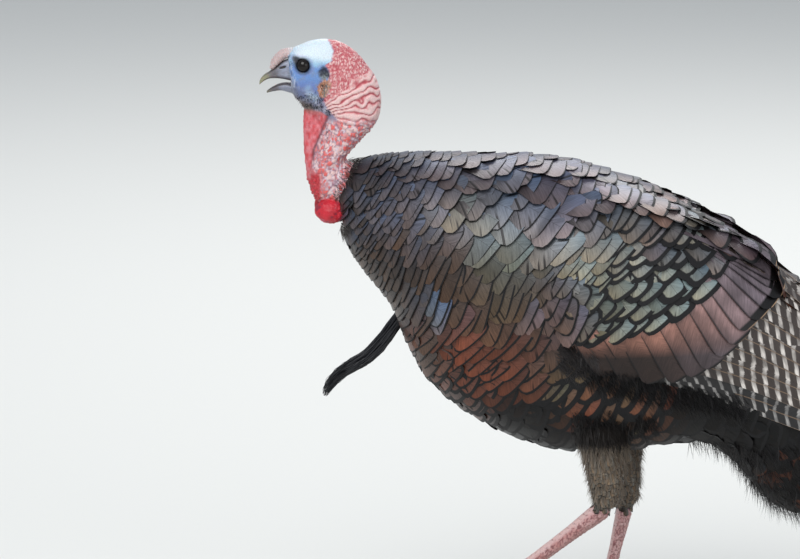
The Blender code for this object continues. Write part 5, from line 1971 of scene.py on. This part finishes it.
class TURKEY_OT_wings(bpy.types.Operator):
    """Lays the coverts and quills of the folded wings"""

    bl_idname = "turkey.wings"
    bl_label = "Wings"

    def execute(self, context):
        make_wings()
        return {"FINISHED"}


class TURKEY_OT_tail(bpy.types.Operator):
    """Lays the fan of tail feathers"""

    bl_idname = "turkey.tail"
    bl_label = "Tail"

    def execute(self, context):
        make_tail()
        return {"FINISHED"}


class TURKEY_OT_beard(bpy.types.Operator):
    """Grows the beard's bristles"""

    bl_idname = "turkey.beard"
    bl_label = "Beard"

    def execute(self, context):
        make_beard()
        return {"FINISHED"}


class TURKEY_OT_eyes(bpy.types.Operator):
    """Sets the eyes in the head"""

    bl_idname = "turkey.eyes"
    bl_label = "Eyes"

    def execute(self, context):
        make_eyes()
        return {"FINISHED"}


class TURKEY_OT_bill(bpy.types.Operator):
    """Models the two halves of the bill"""

    bl_idname = "turkey.bill"
    bl_label = "Bill"

    def execute(self, context):
        make_bill()
        return {"FINISHED"}


class TURKEY_OT_claws(bpy.types.Operator):
    """Models the claws and the spurs"""

    bl_idname = "turkey.claws"
    bl_label = "Claws"

    def execute(self, context):
        make_claws()
        return {"FINISHED"}


class TURKEY_OT_bristles(bpy.types.Operator):
    """Adds the bristles of the head"""

    bl_idname = "turkey.bristles"
    bl_label = "Head bristles"

    def execute(self, context):
        make_head_bristles()
        return {"FINISHED"}


class TURKEY_OT_stage(bpy.types.Operator):
    """Adds the floor, the lights and the camera"""

    bl_idname = "turkey.stage"
    bl_label = "Stage"

    def execute(self, context):
        make_stage()
        return {"FINISHED"}


class TURKEY_OT_skin(bpy.types.Operator):
    """Models the skin of the head, neck, body and legs"""

    bl_idname = "turkey.skin"
    bl_label = "Skin"

    def execute(self, context):
        make_skin()
        return {"FINISHED"}


OPERATORS = (
    TURKEY_OT_stage,
    TURKEY_OT_skin,
    TURKEY_OT_plumage,
    TURKEY_OT_wings,
    TURKEY_OT_tail,
    TURKEY_OT_beard,
    TURKEY_OT_eyes,
    TURKEY_OT_bill,
    TURKEY_OT_claws,
    TURKEY_OT_bristles,
)


class TURKEY_PT_panel(bpy.types.Panel):
    """Lists the turkey's sizes, colours and pieces"""

    bl_idname = "TURKEY_PT_panel"
    bl_label = "Wild turkey"
    bl_space_type = "VIEW_3D"
    bl_region_type = "UI"
    bl_category = "Turkey"

    def draw(self, context):
        for group in (context.scene.turkey_sizes, context.scene.turkey_colours):
            for name in group.__annotations__:
                self.layout.prop(group, name)
        for operator in OPERATORS:
            self.layout.operator(operator.bl_idname)


CLASSES = (TurkeySizes, TurkeyColours, *OPERATORS, TURKEY_PT_panel)


def register():
    """Adds the properties, operators and panel."""
    for item in CLASSES:
        bpy.utils.register_class(item)
    bpy.types.Scene.turkey_sizes = PointerProperty(type=TurkeySizes)
    bpy.types.Scene.turkey_colours = PointerProperty(type=TurkeyColours)


def unregister():
    """Takes them away again."""
    del bpy.types.Scene.turkey_colours
    del bpy.types.Scene.turkey_sizes
    for item in reversed(CLASSES):
        bpy.utils.unregister_class(item)


def main():
    """Builds the whole model."""
    register()
    bpy.ops.turkey.stage()
    bpy.ops.turkey.skin()
    bpy.ops.turkey.plumage()
    bpy.ops.turkey.wings()
    bpy.ops.turkey.tail()
    bpy.ops.turkey.beard()
    bpy.ops.turkey.eyes()
    bpy.ops.turkey.bill()
    bpy.ops.turkey.claws()
    bpy.ops.turkey.bristles()


if __name__ == "__main__":
    main()
